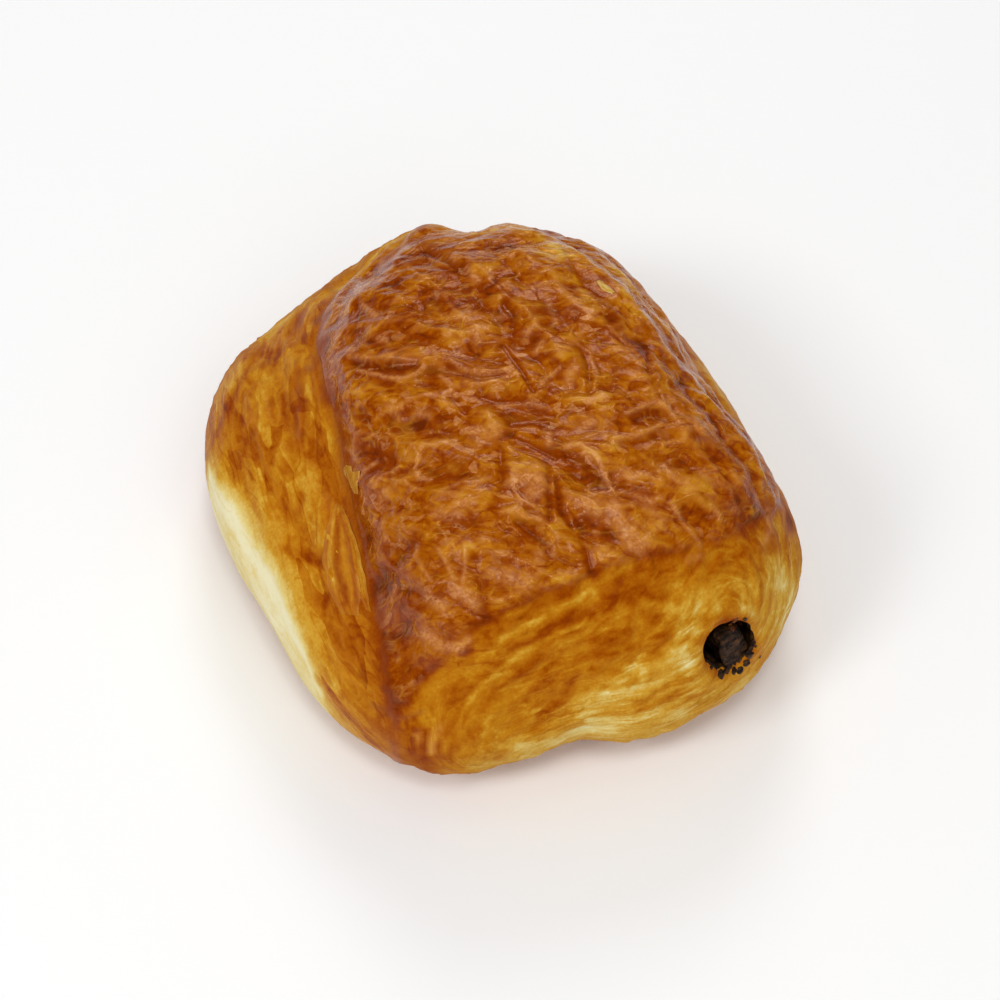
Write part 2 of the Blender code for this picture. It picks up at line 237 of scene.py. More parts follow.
@dataclass(frozen=True)
class Lobe:
    """One rounded block of dough, in millimetres."""

    centre: Triple
    half: Triple
    plan_power: float
    upper_power: float
    lower_power: float
    turn: float = 0.0
    below: float = 1.2
    scale: float = 20.0

    def field(self, points: np.ndarray) -> np.ndarray:
        """Field of the lobe, negative inside.

        Args:
            points: Places to read, one row each.

        Returns:
            One value for each place.
        """
        offset = points - np.array(self.centre)
        cosine, sine = math.cos(self.turn), math.sin(self.turn)
        across = np.abs(offset[:, 0] * cosine + offset[:, 1] * sine) / self.half[0]
        along = np.abs(offset[:, 1] * cosine - offset[:, 0] * sine) / self.half[1]
        above = offset[:, 2] > 0.0
        up = np.where(above, offset[:, 2] / self.half[2], -offset[:, 2] / (self.centre[2] + self.below))
        power = np.where(above, self.upper_power, self.lower_power)
        plan = (across**self.plan_power + along**self.plan_power) ** (1.0 / self.plan_power)
        return ((plan**power + up**power) ** (1.0 / power) - 1.0) * self.scale


@dataclass(frozen=True)
class CrustedRoll:
    """The roll on top, whose right edge is straight and whose left edge slants, in millimetres."""

    right_edge: float = 36.2
    half_width: float = 31.0
    half_length: float = 37.7
    middle_y: float = -4.4
    middle_z: float = 22.4
    half_height: float = 21.4
    taper: float = 0.106
    plan_power: float = 3.6
    power: float = 3.06
    below: float = 1.2
    scale: float = 20.0

    def field(self, points: np.ndarray) -> np.ndarray:
        """Field of the roll, negative inside.

        Args:
            points: Places to read, one row each.

        Returns:
            One value for each place.
        """
        along = (points[:, 1] - self.middle_y) / self.half_length
        half = self.half_width * (1.0 - self.taper * np.clip(along, -1.1, 1.1))
        across = np.abs(points[:, 0] - (self.right_edge - half)) / half
        height = points[:, 2] - self.middle_z
        up = np.where(height > 0.0, height / self.half_height, -height / (self.middle_z + self.below))
        plan = (across**self.plan_power + np.abs(along) ** self.plan_power) ** (1.0 / self.plan_power)
        return ((plan**self.power + up**self.power) ** (1.0 / self.power) - 1.0) * self.scale


@dataclass(frozen=True)
class Mound:
    """A bell-shaped swelling, or a hollow where the rise is negative, in millimetres."""

    centre: Triple
    spread: Triple
    rise: float

    def height(self, points: np.ndarray) -> np.ndarray:
        """Height of the swelling at some points.

        Args:
            points: Places to read, one row each.

        Returns:
            One height for each place.
        """
        scaled = (points - np.array(self.centre)) / np.array(self.spread)
        return self.rise * np.exp(-0.5 * (scaled**2).sum(axis=1))


@dataclass(frozen=True)
class Crease:
    """The groove where the roll's left edge meets the shoulder, seen from above, in millimetres."""

    path: tuple[Triple, ...] = (
        (-48.0, -38.0, 0.25),
        (-39.0, -35.7, 0.35),
        (-24.7, -31.0, 0.9),
        (-14.5, -28.4, 1.0),
        (4.4, -23.7, 1.0),
        (28.3, -17.7, 1.0),
        (36.0, -12.5, 0.9),
        (44.0, -5.0, 0.8),
        (50.0, 0.0, 0.6),
    )
    depth: float = 0.4
    half_width: float = 1.35
    lip_height: float = 0.3
    lip_offset: float = 2.6
    slant: float = 0.94

    def distance(self, points: np.ndarray) -> tuple[np.ndarray, np.ndarray]:
        """Distance across the crease, positive on the roll's side, and the crease's strength.

        Args:
            points: Places to read, one row each.

        Returns:
            One distance and one strength for each place.
        """
        along, across, strength = np.array(self.path).T
        line = np.interp(points[:, 1], along, across)
        return (points[:, 0] - line) * self.slant, np.interp(points[:, 1], along, strength)

    def height(self, points: np.ndarray) -> np.ndarray:
        """Height of the groove and of the lip beside it at some points.

        Args:
            points: Places to read, one row each.

        Returns:
            One height for each place.
        """
        distance, strength = self.distance(points)
        groove = -self.depth * np.exp(-((distance / self.half_width) ** 2))
        lip = self.lip_height * np.exp(-(((distance - self.lip_offset) / self.half_width) ** 2))
        return (groove + lip) * strength * soft_step(points[:, 2], 10.0, 18.0)


@dataclass(frozen=True)
class DoughForm:
    """The whole baked body as one smooth form, in millimetres."""

    lobe: Lobe = Lobe((0.0, 0.0, 14.1), (43.0, 46.5, 18.5), 3.0, 2.1, 3.6)
    dome: Lobe = Lobe((7.3, -1.7, 16.2), (27.1, 49.6, 23.0), 2.34, 2.9, 2.9, turn=0.114)
    roll: CrustedRoll = CrustedRoll()
    crease: Crease = Crease()
    lobe_blend: float = 5.0
    crease_blend: float = 2.5
    roll_blend: float = 6.0
    base_blend: float = 0.8
    seed: Triple = (0.0, 0.0, 16.0)
    halvings: int = 26
    swellings: tuple[Mound, ...] = (
        Mound((-7.5, -48.0, 6.5), (3.0, 7.0, 9.0), -1.8),
        Mound((13.0, -51.5, 8.7), (6.0, 6.0, 9.0), -0.55),
        Mound((29.0, -46.0, 11.5), (7.0, 7.0, 9.0), -0.6),
        Mound((-19.5, -45.0, 6.5), (3.5, 5.0, 7.0), -1.0),
        Mound((-43.0, -8.0, 8.5), (6.0, 9.0, 9.0), -0.6),
        Mound((-37.0, 33.0, 16.0), (5.0, 6.0, 8.0), -0.6),
        Mound((-6.0, 41.5, 31.5), (4.5, 6.0, 6.0), -2.0),
        Mound((14.8, 39.5, 32.0), (3.2, 5.0, 6.0), -2.1),
        Mound((19.5, 33.0, 37.5), (4.0, 4.0, 4.0), 0.5),
        Mound((26.5, 25.0, 37.5), (4.0, 5.0, 4.5), -1.3),
        Mound((32.5, 11.0, 37.0), (3.5, 4.5, 4.5), -0.9),
        Mound((35.5, -4.0, 34.0), (5.0, 16.0, 6.0), -1.0),
        Mound((10.2, 40.5, 34.0), (3.0, 4.5, 4.5), 1.5),
        Mound((-12.5, -48.0, 4.0), (3.5, 5.0, 7.0), -0.8),
        Mound((32.5, -2.9, 38.0), (4.0, 5.0, 4.0), -0.65),
        Mound((36.8, -10.0, 31.5), (5.5, 6.0, 5.0), -1.9),
        Mound((31.7, -14.0, 38.3), (3.5, 4.0, 4.0), -0.55),
        Mound((35.0, -23.0, 31.0), (4.0, 4.0, 5.0), -0.5),
        Mound((41.0, -19.0, 20.0), (6.0, 5.0, 6.0), -0.6),
        Mound((34.5, -38.2, 16.4), (5.0, 5.0, 6.0), 0.5),
        Mound((-30.4, -10.5, 29.2), (1.7, 6.4, 4.0), 1.0),
        Mound((-28.6, -4.5, 32.0), (1.0, 3.2, 3.0), 0.6),
        Mound((-20.8, 22.0, 33.5), (1.4, 5.0, 4.0), 0.6),
        Mound((-33.2, -26.0, 23.5), (1.4, 4.6, 4.0), 0.6),
    )

    def shoulder_field(self, points: np.ndarray) -> np.ndarray:
        """Field of the dough without the crusted roll."""
        return soft_union(self.lobe.field(points), self.dome.field(points), self.lobe_blend)

    def field(self, points: np.ndarray) -> np.ndarray:
        """Field of the whole body, cut flat at the base.

        Args:
            points: Places to read, one row each.

        Returns:
            One value for each place, negative inside.
        """
        away = soft_step(np.abs(self.crease.distance(points)[0]), 3.0, 14.0)
        forward = soft_step(-points[:, 1], 18.0, 34.0)
        radius = self.crease_blend + (self.roll_blend - self.crease_blend) * np.maximum(away, forward)
        body = soft_union(self.shoulder_field(points), self.roll.field(points), radius)
        return -soft_union(-body, points[:, 2], self.base_blend)

    def blow_up(self, rays: np.ndarray) -> np.ndarray:
        """Push each ray out from the seed to the body's skin, by halving.

        Args:
            rays: Directions from the seed, in millimetres.

        Returns:
            Places on the skin.
        """
        seed = np.array(self.seed)
        inner = np.zeros(len(rays))
        outer = 75.0 / np.linalg.norm(rays, axis=1)
        for _ in range(self.halvings):
            middle = (inner + outer) / 2.0
            inside = self.field(seed + rays * middle[:, None]) < 0.0
            inner = np.where(inside, middle, inner)
            outer = np.where(inside, outer, middle)
        return seed + rays * ((inner + outer) / 2.0)[:, None]

    def normals(self, points: np.ndarray, step: float = 0.05) -> np.ndarray:
        """Outward normals of the smooth form at some points on its skin.

        Args:
            points: Places on the skin, one row each.
            step: Distance between the places that are compared.

        Returns:
            One normal for each place.
        """
        slopes = [self.field(points + step * axis) - self.field(points - step * axis) for axis in np.eye(3)]
        return unit(np.stack(slopes, axis=1))


@dataclass(frozen=True)
class SkinGrid:
    """Layout of the skin: a fine grid on top, coarser rows down the sides and a coarse base."""

    top_cells: int = 248
    columns: int = 124
    rows: int = 60
    base_cells: int = 31
    half_width: float = 45.0
    half_length: float = 41.0
    top_rise: float = 20.0
    base_drop: float = 32.0
    straight: float = 0.6
    bend_power: int = 7
    even_fall: float = 0.75

    def warp(self, cells: int) -> np.ndarray:
        """Places of the grid lines from -1 to 1, closer together in the middle."""
        share = np.linspace(-1.0, 1.0, cells + 1)
        return self.straight * share + (1.0 - self.straight) * share**self.bend_power

    @staticmethod
    def loop(cells: int) -> np.ndarray:
        """Find the points round a square grid's edge.

        Args:
            cells: Cells along one side.

        Returns:
            Row and column of each point, in turn.
        """
        run = np.arange(cells)
        low, high = np.zeros(cells, int), np.full(cells, cells)
        first = np.concatenate([run, high, cells - run, low])
        second = np.concatenate([low, run, high, cells - run])
        return np.stack([first, second], axis=1)

    def _sheet(self, cells: int, rise: float) -> np.ndarray:
        """Rays of one square grid at one rise.

        Args:
            cells: Cells along one side.
            rise: Height over the seed.

        Returns:
            One ray in each row.
        """
        line = self.warp(cells)
        across, along = np.meshgrid(line, line, indexing="ij")
        flat = [across.ravel() * self.half_width, along.ravel() * self.half_length]
        return np.stack([*flat, np.full(across.size, rise)], axis=1)

    def rays(self) -> np.ndarray:
        """Rays of every vertex: the top grid, the side rows and the base grid.

        Returns:
            One ray in each row.
        """
        line = self.warp(self.columns)
        edge = self.loop(self.columns)
        across = line[edge[:, 0]] * self.half_width
        along = line[edge[:, 1]] * self.half_length
        blocks = [self._sheet(self.top_cells, self.top_rise)]
        for row in range(1, self.rows + 1):
            share = row / self.rows
            fall = self.even_fall * share + (1.0 - self.even_fall) * share**3
            fall *= self.top_rise + self.base_drop
            blocks.append(np.stack([across, along, np.full(len(edge), self.top_rise - fall)], axis=1))
        blocks.append(self._sheet(self.base_cells, -self.base_drop))
        return np.concatenate(blocks)

    @staticmethod
    def _fans(fine: np.ndarray, coarse: np.ndarray, step: int) -> list[Face]:
        """Triangles between a fine loop and a coarse loop that run side by side.

        Args:
            fine: Vertex numbers of the loop with more points.
            coarse: Vertex numbers of the loop with fewer points.
            step: 1, or -1 to turn the faces over.

        Returns:
            The faces.
        """
        ratio = len(fine) // len(coarse)
        faces = []
        for index, here in enumerate(coarse):
            after = coarse[(index + 1) % len(coarse)]
            for start in range(index * ratio, (index + 1) * ratio):
                faces.append((here, fine[(start + 1) % len(fine)], fine[start])[::step])
            faces.append((here, after, fine[((index + 1) * ratio) % len(fine)])[::step])
        return faces

    def faces(self) -> list[Face]:
        """Every face of the closed skin, facing out.

        Returns:
            The faces by vertex numbers.
        """
        top = np.arange((self.top_cells + 1) ** 2).reshape(self.top_cells + 1, -1)
        sides = top.size + np.arange(self.rows * 4 * self.columns).reshape(self.rows, -1)
        base = top.size + sides.size + np.arange((self.base_cells + 1) ** 2).reshape(self.base_cells + 1, -1)
        top_loop, base_loop = (sheet[tuple(self.loop(len(sheet) - 1).T)] for sheet in (top, base))
        faces = grid_faces(top, (0, 1, 2, 3)) + self._fans(top_loop, sides[0], 1)
        faces += grid_faces(sides, (3, 0, 1, 2), closed=True)
        return faces + self._fans(sides[-1], base_loop, -1) + grid_faces(base, (3, 2, 1, 0))


@dataclass(frozen=True)
class PhotoCamera:
    """The camera of the photo, which also places marks by the photo's pixels."""

    azimuth: float = -26.6
    elevation: float = 54.03
    distance: float = 387.0
    target: Triple = (0.0, 0.0, 16.5)
    lens: float = 85.0
    sensor: float = 36.0
    shift: Pair = (0.0103, -0.0207)

    def back(self) -> Vector:
        """Direction from the target to the camera."""
        return bearing(self.azimuth, self.elevation)

    def place(self) -> Vector:
        """Place of the camera in the dough's own frame, in millimetres."""
        return Vector(self.target) + self.back() * self.distance

    def turn(self) -> Matrix:
        """Rotation of the camera."""
        return (-self.back()).to_track_quat("-Z", "Y").to_matrix()

    def pixels(self, points: np.ndarray) -> np.ndarray:
        """Where some points of the dough appear in the photo.

        Args:
            points: Places in the dough's own frame, in millimetres.

        Returns:
            Column and row of each, in the photo's pixels.
        """
        seen = (points - np.array(self.place())) @ np.array(self.turn())
        scale = self.lens / self.sensor / -seen[:, 2]
        column = 0.5 + seen[:, 0] * scale - self.shift[0]
        row = 0.5 - seen[:, 1] * scale + self.shift[1]
        return np.stack([column, row], axis=1) * PHOTO_SIZE

    def ray(self, pixel: Pair) -> Vector:
        """Direction of the sight line through one pixel of the photo.

        Args:
            pixel: Column and row.

        Returns:
            A direction of length one.
        """
        across = (pixel[0] / PHOTO_SIZE - 0.5 + self.shift[0]) * self.sensor / self.lens
        upward = (0.5 - pixel[1] / PHOTO_SIZE + self.shift[1]) * self.sensor / self.lens
        return (self.turn() @ Vector((across, upward, -1.0))).normalized()

    def build(self) -> bpy.types.Object:
        """Make the camera and make it the scene's own.

        Returns:
            The camera's object.
        """
        data = bpy.data.cameras.new("photo_camera")
        data.lens = self.lens
        data.sensor_width = self.sensor
        data.shift_x, data.shift_y = self.shift
        camera = bpy.data.objects.new("photo_camera", data)
        camera.location = self.place() * MM + CENTRING
        camera.rotation_mode = "QUATERNION"
        camera.rotation_quaternion = self.turn().to_quaternion()
        bpy.context.scene.collection.objects.link(camera)
        bpy.context.scene.camera = camera
        return camera


class MarkKind(Enum):
    """What a mark on the crust is."""

    VALLEY = "valley"
    RIDGE = "ridge"
    BUMP = "bump"
    SCORCH = "scorch"
    FILM = "film"
    PALE = "pale"
    BROWN = "brown"
    # this kind paints highlights: pale pinkish patches of colour that stand in for light reflected off the
    # glaze
    PAINTED_SHEEN = "painted_sheen"


VALLEY, RIDGE, BUMP, SCORCH, FILM, PALE, BROWN, PAINTED_SHEEN = MarkKind


@dataclass(frozen=True)
class MarkStyle:
    """What a kind of mark does: rise in millimetres, and changes of browning, film and painted highlight
    colour.
    """

    rise: float = 0.0
    bake: float = 0.0
    film: float = 0.0
    painted_sheen: float = 0.0
    calm: float = 0.0
    sharp: float = 1.0


MARK_STYLES = {
    # valleys brown more: partly deeper colour, partly painted shade in the dip
    VALLEY: MarkStyle(rise=-0.42, bake=0.17, calm=0.7, sharp=0.9),
    # ridges are paler and carry a painted highlight along their line
    RIDGE: MarkStyle(rise=0.26, bake=-0.12, painted_sheen=0.45, calm=0.1, sharp=0.75),
    BUMP: MarkStyle(rise=0.7, bake=-0.02, calm=0.2),
    SCORCH: MarkStyle(rise=-0.08, bake=0.26, film=0.35),
    FILM: MarkStyle(rise=0.1, film=0.7),
    PALE: MarkStyle(bake=-0.22),
    BROWN: MarkStyle(bake=0.16),
    # patches of painted highlight
    PAINTED_SHEEN: MarkStyle(rise=0.1, bake=-0.06, painted_sheen=0.55, calm=0.2),
}
CALM_REACH = 1.4


@dataclass(frozen=True)
class Mark:
    """One feature of the crust that the photo shows, as a run of photo pixels."""

    kind: MarkKind
    path: tuple[Pair, ...]
    half_width: float
    strength: float = 1.0

    def distance(self, pixels: np.ndarray) -> np.ndarray:
        """Distance of some photo pixels from the mark's line.

        Args:
            pixels: Column and row of each point.

        Returns:
            One distance for each point, in pixels.
        """
        nearest = np.full(len(pixels), np.inf)
        stops = self.path if len(self.path) > 1 else self.path * 2
        for start, end in zip(stops[:-1], stops[1:]):
            run = np.subtract(end, start)
            share = np.clip((pixels - start) @ run / max(run @ run, 1e-6), 0.0, 1.0)
            gap = np.linalg.norm(pixels - start - share[:, None] * run, axis=1)
            nearest = np.minimum(nearest, gap)
        return nearest

    def weight(self, distance: np.ndarray, spread: float = 1.0) -> np.ndarray:
        """Weight of the mark at some distances, full on its line and fading across it."""
        sharp = MARK_STYLES[self.kind].sharp
        return self.strength * np.exp(-0.5 * (distance / (self.half_width * spread * sharp)) ** 2)


def marks(rows: dict[MarkKind, tuple]) -> tuple[Mark, ...]:
    """Make marks from rows that hold half a width, a strength and then the photo's pixels.

    Args:
        rows: The rows of each kind of mark.

    Returns:
        The marks.
    """
    return tuple(
        Mark(kind, tuple(path), width, strength) for kind in rows for width, strength, *path in rows[kind]
    )
PLATEAU_FOLDS = marks({
    VALLEY: (
        (4.2, 1.2, (356, 365), (385, 368), (416, 366)),
        (4.2, 1.1, (428, 371), (455, 371), (480, 378), (508, 376)), (2.6, 0.8, (452, 398), (466, 412)),
        (3.2, 0.9, (482, 396), (500, 401), (520, 402)), (7.0, 1.2, (512, 422), (535, 419), (552, 425)),
        (3.0, 1.1, (566, 412), (575, 409), (586, 409)), (2.4, 1.1, (503, 438), (512, 434)),
        (2.2, 0.8, (512, 436), (530, 444), (556, 458)), (3.2, 0.8, (501, 448), (502, 490)),
        (5.0, 0.8, (636, 420), (652, 413), (664, 420)), (3.0, 0.7, (622, 446), (640, 444), (656, 438)),
        (4.5, 1.1, (568, 457), (584, 463), (598, 476)), (2.5, 0.7, (600, 486), (625, 484), (650, 491)),
        (3.0, 0.7, (698, 508), (707, 517)), (2.0, 0.8, (549, 470), (550, 520)),
        (2.2, 1.0, (556, 480), (561, 512), (573, 528)), (3.4, 1.0, (517, 522), (530, 533), (548, 545)),
        (4.5, 0.9, (366, 478), (380, 466), (392, 457)), (3.0, 0.6, (474, 560), (484, 596), (488, 636)),
        (3.4, 0.8, (578, 520), (586, 548), (592, 574)), (1.8, 0.8, (503, 345), (518, 366), (534, 392)),
        (3.0, 0.7, (504, 306), (514, 318), (512, 334)), (3.0, 1.0, (424, 252), (448, 262), (466, 274)),
        (2.5, 0.8, (583, 350), (588, 366), (590, 388)), (2.2, 0.7, (590, 393), (600, 389), (612, 392)),
        (3.0, 0.6, (640, 340), (646, 352), (648, 372)),
    ),
    RIDGE: (
        (1.8, 0.6, (352, 358), (390, 360), (420, 361)),
        (2.0, 1.0, (360, 371), (385, 377), (405, 377), (416, 373), (424, 365)),
        (1.8, 0.8, (450, 360), (462, 369), (478, 373), (498, 372), (512, 367)),
        (2.0, 0.9, (472, 387), (496, 381), (516, 373)), (1.8, 0.7, (440, 376), (448, 384), (455, 396)),
        (1.8, 0.7, (500, 405), (520, 404), (545, 407)),
        (2.2, 0.9, (612, 441), (640, 436), (655, 428), (662, 424)),
        (2.0, 0.8, (626, 416), (640, 408), (655, 403), (668, 410), (674, 420)),
        (2.0, 0.6, (676, 412), (690, 424), (700, 432)),
        (2.5, 1.1, (566, 447), (580, 447), (595, 458), (605, 474), (612, 489)),
        (1.8, 0.7, (582, 499), (600, 492), (625, 492), (645, 498), (655, 504)),
        (2.2, 0.9, (664, 466), (670, 478), (680, 485), (690, 490)),
        (2.2, 0.8, (672, 504), (682, 520), (692, 534), (700, 546)),
        (2.0, 0.8, (709, 504), (716, 512), (720, 520)),
        (2.0, 0.8, (512, 474), (514, 488), (520, 500), (534, 506)),
        (1.8, 0.6, (500, 514), (520, 513), (540, 522)),
        (1.6, 0.9, (416, 450), (421, 458), (414, 468), (420, 478), (430, 479)),
        (1.8, 0.8, (424, 446), (437, 449)), (1.6, 0.8, (360, 480), (368, 470), (376, 462)),
        (1.8, 0.8, (378, 488), (386, 476), (400, 467)), (2.0, 0.6, (443, 492), (462, 484), (490, 478)),
        (2.0, 0.8, (440, 550), (448, 566), (455, 580)), (2.2, 0.7, (466, 548), (464, 580)),
        (1.8, 0.7, (418, 545), (416, 556), (424, 568), (432, 580)), (1.5, 0.7, (430, 259), (448, 266)),
        (1.6, 0.6, (578, 345), (590, 352), (598, 374)), (1.8, 0.8, (541, 384), (550, 376), (560, 369)),
    ),
    BUMP: (
        (4.0, 0.8, (467, 440)), (2.6, 0.8, (640, 363)),
    ),
})
# Painted highlights: small pale pinkish patches where light reflects off the glaze.
PLATEAU_PAINTED_GLEAMS = marks({
    PAINTED_SHEEN: (
        (2.4, 0.9, (366, 308), (376, 316)), (2.2, 0.8, (380, 340), (386, 340)),
        (1.8, 0.7, (348, 350), (356, 352)), (1.8, 1.0, (473, 277), (479, 281)),
        (1.8, 0.8, (490, 274), (492, 280)), (2.2, 0.7, (437, 295)), (3.0, 0.8, (476, 334), (478, 342)),
        (2.8, 0.5, (458, 319), (470, 314)), (2.0, 0.9, (526, 334), (536, 327)),
        (2.2, 0.9, (542, 344), (536, 352)), (2.2, 0.5, (548, 303), (556, 320)),
        (3.0, 0.8, (570, 374), (569, 386)), (2.4, 0.7, (622, 335)), (1.8, 0.6, (626, 359), (636, 359)),
        (1.8, 0.5, (634, 381), (642, 382)), (2.4, 1.0, (455, 259)),
        (5.0, 0.7, (518, 480), (540, 482), (530, 496)), (5.0, 0.5, (478, 436), (495, 432)),
        (2.6, 0.8, (549, 434), (549, 444)), (4.5, 0.8, (586, 503), (598, 511)),
        (4.5, 0.9, (612, 506), (622, 526), (632, 546)), (4.0, 0.5, (640, 552), (646, 540)),
        (2.4, 0.9, (632, 478), (639, 475)), (4.5, 0.6, (490, 572), (508, 578), (526, 582)),
        (3.2, 0.7, (539, 554)), (2.4, 0.7, (553, 554)), (3.6, 0.8, (427, 596), (442, 606)),
        (4.0, 0.9, (462, 594), (474, 604)), (3.6, 0.6, (437, 514), (454, 518)), (2.0, 0.9, (456, 505)),
        (3.0, 0.4, (510, 577)), (1.8, 0.7, (346, 448), (353, 452), (357, 460)),
        (3.0, 0.5, (391, 408), (398, 416)), (2.6, 0.5, (420, 412), (428, 416)),
        (3.6, 0.5, (386, 492), (380, 504)), (3.0, 0.5, (700, 474), (712, 484)),
        (4.0, 0.35, (640, 500), (660, 520)), (3.6, 1.0, (426, 633), (440, 644), (457, 648)),
        (3.0, 0.8, (468, 640), (460, 648)), (4.0, 0.5, (578, 430), (592, 424)),
        (3.0, 0.5, (606, 424), (604, 434)), (2.2, 0.7, (766, 512), (771, 528), (765, 542)),
        (2.4, 0.4, (688, 560), (700, 556)),
    ),
})
DARK_SPOTS = marks({
    SCORCH: (
        (2.2, 0.7, (378, 460)), (2.4, 0.8, (441, 533)), (1.5, 0.7, (464, 447), (470, 448)),
        (2.0, 0.7, (477, 467)), (3.4, 1.2, (463, 653), (468, 650)), (2.4, 0.8, (655, 473)),
        # the spot at (313, 318) paints the shade of a pit under the crust's edge
        (1.8, 1.0, (789, 515), (792, 528)), (4.5, 1.0, (313, 318)), (4.0, 0.5, (322, 390), (325, 400)),
        (1.8, 0.6, (537, 539), (546, 543)),
    ),
    BROWN: (
        (7.0, 0.6, (596, 296), (608, 318)), (8.0, 0.5, (640, 348), (655, 372)),
        (9.0, 0.7, (736, 498), (752, 522)), (24.0, 0.35, (400, 590), (420, 690)),
        (16.0, 0.35, (356, 390), (372, 440), (376, 520), (392, 600)),
        (26.0, 0.5, (360, 300), (420, 270), (520, 320)), (14.0, 0.4, (350, 330), (420, 345)),
        (16.0, 0.3, (580, 300), (650, 370), (700, 440)), (12.0, 0.4, (380, 640), (384, 700)),
    ),
})
SHOULDER_LINES = marks({
    BROWN: (
        (2.4, 1.1, (204, 456), (227, 402), (250, 370), (275, 356), (309, 334)),
        (1.8, 0.9, (243, 358), (262, 352), (293, 346)), (2.2, 0.9, (227, 406), (245, 424), (261, 447)),
        (6.0, 0.6, (289, 370), (293, 393), (289, 415)), (7.0, 0.7, (298, 415), (308, 450), (300, 470)),
        (3.0, 0.8, (298, 475), (302, 511)), (4.0, 1.0, (284, 548), (300, 557), (318, 562)),
        (8.0, 0.3, (236, 426), (262, 470)),
    ),
    FILM: (
        (2.0, 0.55, (204, 456), (227, 402), (250, 370), (275, 356), (309, 334)),
    ),
    VALLEY: (
        (2.4, 0.6, (251, 432), (257, 455)), (2.2, 0.6, (287, 440), (293, 470), (303, 500)),
        (2.6, 0.6, (298, 372), (304, 410), (300, 440)), (2.2, 0.5, (270, 398), (276, 430), (272, 462)),
        (2.2, 0.5, (244, 396), (238, 425)), (2.4, 0.5, (312, 440), (320, 480), (316, 512)),
    ),
    PALE: (
        (2.2, 0.8, (287, 456), (294, 470), (300, 488)), (3.0, 0.45, (306, 380), (315, 405), (321, 424)),
        (2.6, 0.4, (327, 424), (330, 449)), (4.0, 0.3, (262, 380), (284, 372)),
        (3.0, 0.5, (259, 440), (257, 480), (262, 500)),
        (8.0, 0.3, (228, 500), (246, 530), (266, 566), (284, 616)),
    ),
})
CREASE_FILM = marks({
    FILM: (
        (3.0, 0.6, (347, 298), (330, 308), (316, 320)), (3.5, 0.7, (327, 320), (318, 345), (309, 368)),
        (2.0, 0.6, (316, 285), (340, 285), (354, 292)), (2.0, 0.5, (296, 361), (299, 392), (297, 436)),
        (2.0, 0.25, (341, 464), (344, 505), (370, 560), (385, 640), (389, 700)),
        (4.0, 0.4, (336, 442), (342, 462)), (2.0, 0.4, (382, 545), (384, 580), (380, 620)),
    ),
    PALE: (
        (14.0, 0.3, (250, 380), (275, 358), (300, 340)),
    ),
    BROWN: (
        (6.0, 0.5, (352, 600), (366, 622), (378, 655)),
        # this run follows the crease: painted shade of the groove, as a darker line
        (3.0, 0.5, (320, 335), (333, 390), (346, 440), (370, 560), (385, 640), (389, 700)),
    ),
})
# Along the right outline the lilac film streaks are partly film lines and partly a painted grazing reflection
# of the steep side.
RIGHT_EDGE = marks({
    FILM: (
        (2.4, 0.8, (408, 240), (430, 246), (456, 256)),
        (2.8, 0.6, (572, 246), (590, 262), (620, 284), (640, 300)),
        (2.0, 0.8, (640, 307), (651, 326), (662, 348), (666, 382)),
        (1.6, 0.7, (679, 345), (676, 362), (687, 376), (700, 373)),
        (1.6, 0.7, (672, 330), (682, 342), (700, 364), (704, 382), (723, 407)),
        (1.8, 0.7, (657, 387), (673, 418), (696, 423), (720, 440)),
        (2.2, 0.9, (696, 440), (720, 443), (734, 459), (757, 479), (765, 501), (776, 534)),
        (1.8, 0.8, (734, 462), (751, 482), (768, 482), (782, 495)),
        (1.8, 0.7, (723, 420), (745, 440), (759, 457)),
        (1.8, 0.6, (560, 240), (570, 270), (595, 282), (640, 288)), (8.0, 0.3, (728, 508), (742, 530)),
    ),
    PALE: (
        (1.8, 0.6, (686, 352), (698, 372), (716, 396), (745, 430)),
        (2.0, 0.7, (655, 350), (664, 378), (668, 392)), (3.0, 0.9, (657, 325)), (3.0, 0.8, (708, 409)),
        (2.5, 0.8, (693, 384), (698, 393)), (7.0, 0.7, (527, 240), (545, 236), (560, 250)),
        (5.0, 0.8, (577, 280), (583, 296), (590, 307)), (5.0, 0.6, (622, 300), (628, 316), (634, 330)),
        (8.0, 0.8, (540, 252), (575, 250), (606, 262), (628, 286)),
        # these pale runs along the outline are partly paler crust and partly a painted light rim from grazing
        # reflection
        (3.5, 1.2, (432, 230), (470, 234), (500, 229), (530, 228)),
        (3.0, 1.2, (334, 284), (348, 272), (364, 258), (386, 244), (412, 234)),
        (3.0, 0.8, (262, 340), (290, 314), (316, 296), (336, 280)),
        (3.0, 0.7, (606, 252), (638, 284), (666, 314)), (2.0, 0.5, (640, 310), (662, 340), (680, 372)),
        (2.0, 0.6, (676, 366), (706, 392), (730, 430), (752, 466)),
        (3.0, 0.7, (545, 282), (575, 281), (590, 300)), (5.0, 0.6, (624, 304), (634, 316)),
    ),
    BROWN: (
        (4.0, 0.5, (655, 330), (672, 352), (688, 384)), (4.0, 0.4, (712, 380), (735, 408), (750, 438)),
        (9.0, 0.9, (734, 500), (748, 516)), (2.0, 0.6, (648, 318), (660, 340), (676, 366)),
    ),
    SCORCH: (
        (2.5, 1.0, (789, 514), (790, 530)),
    ),
})
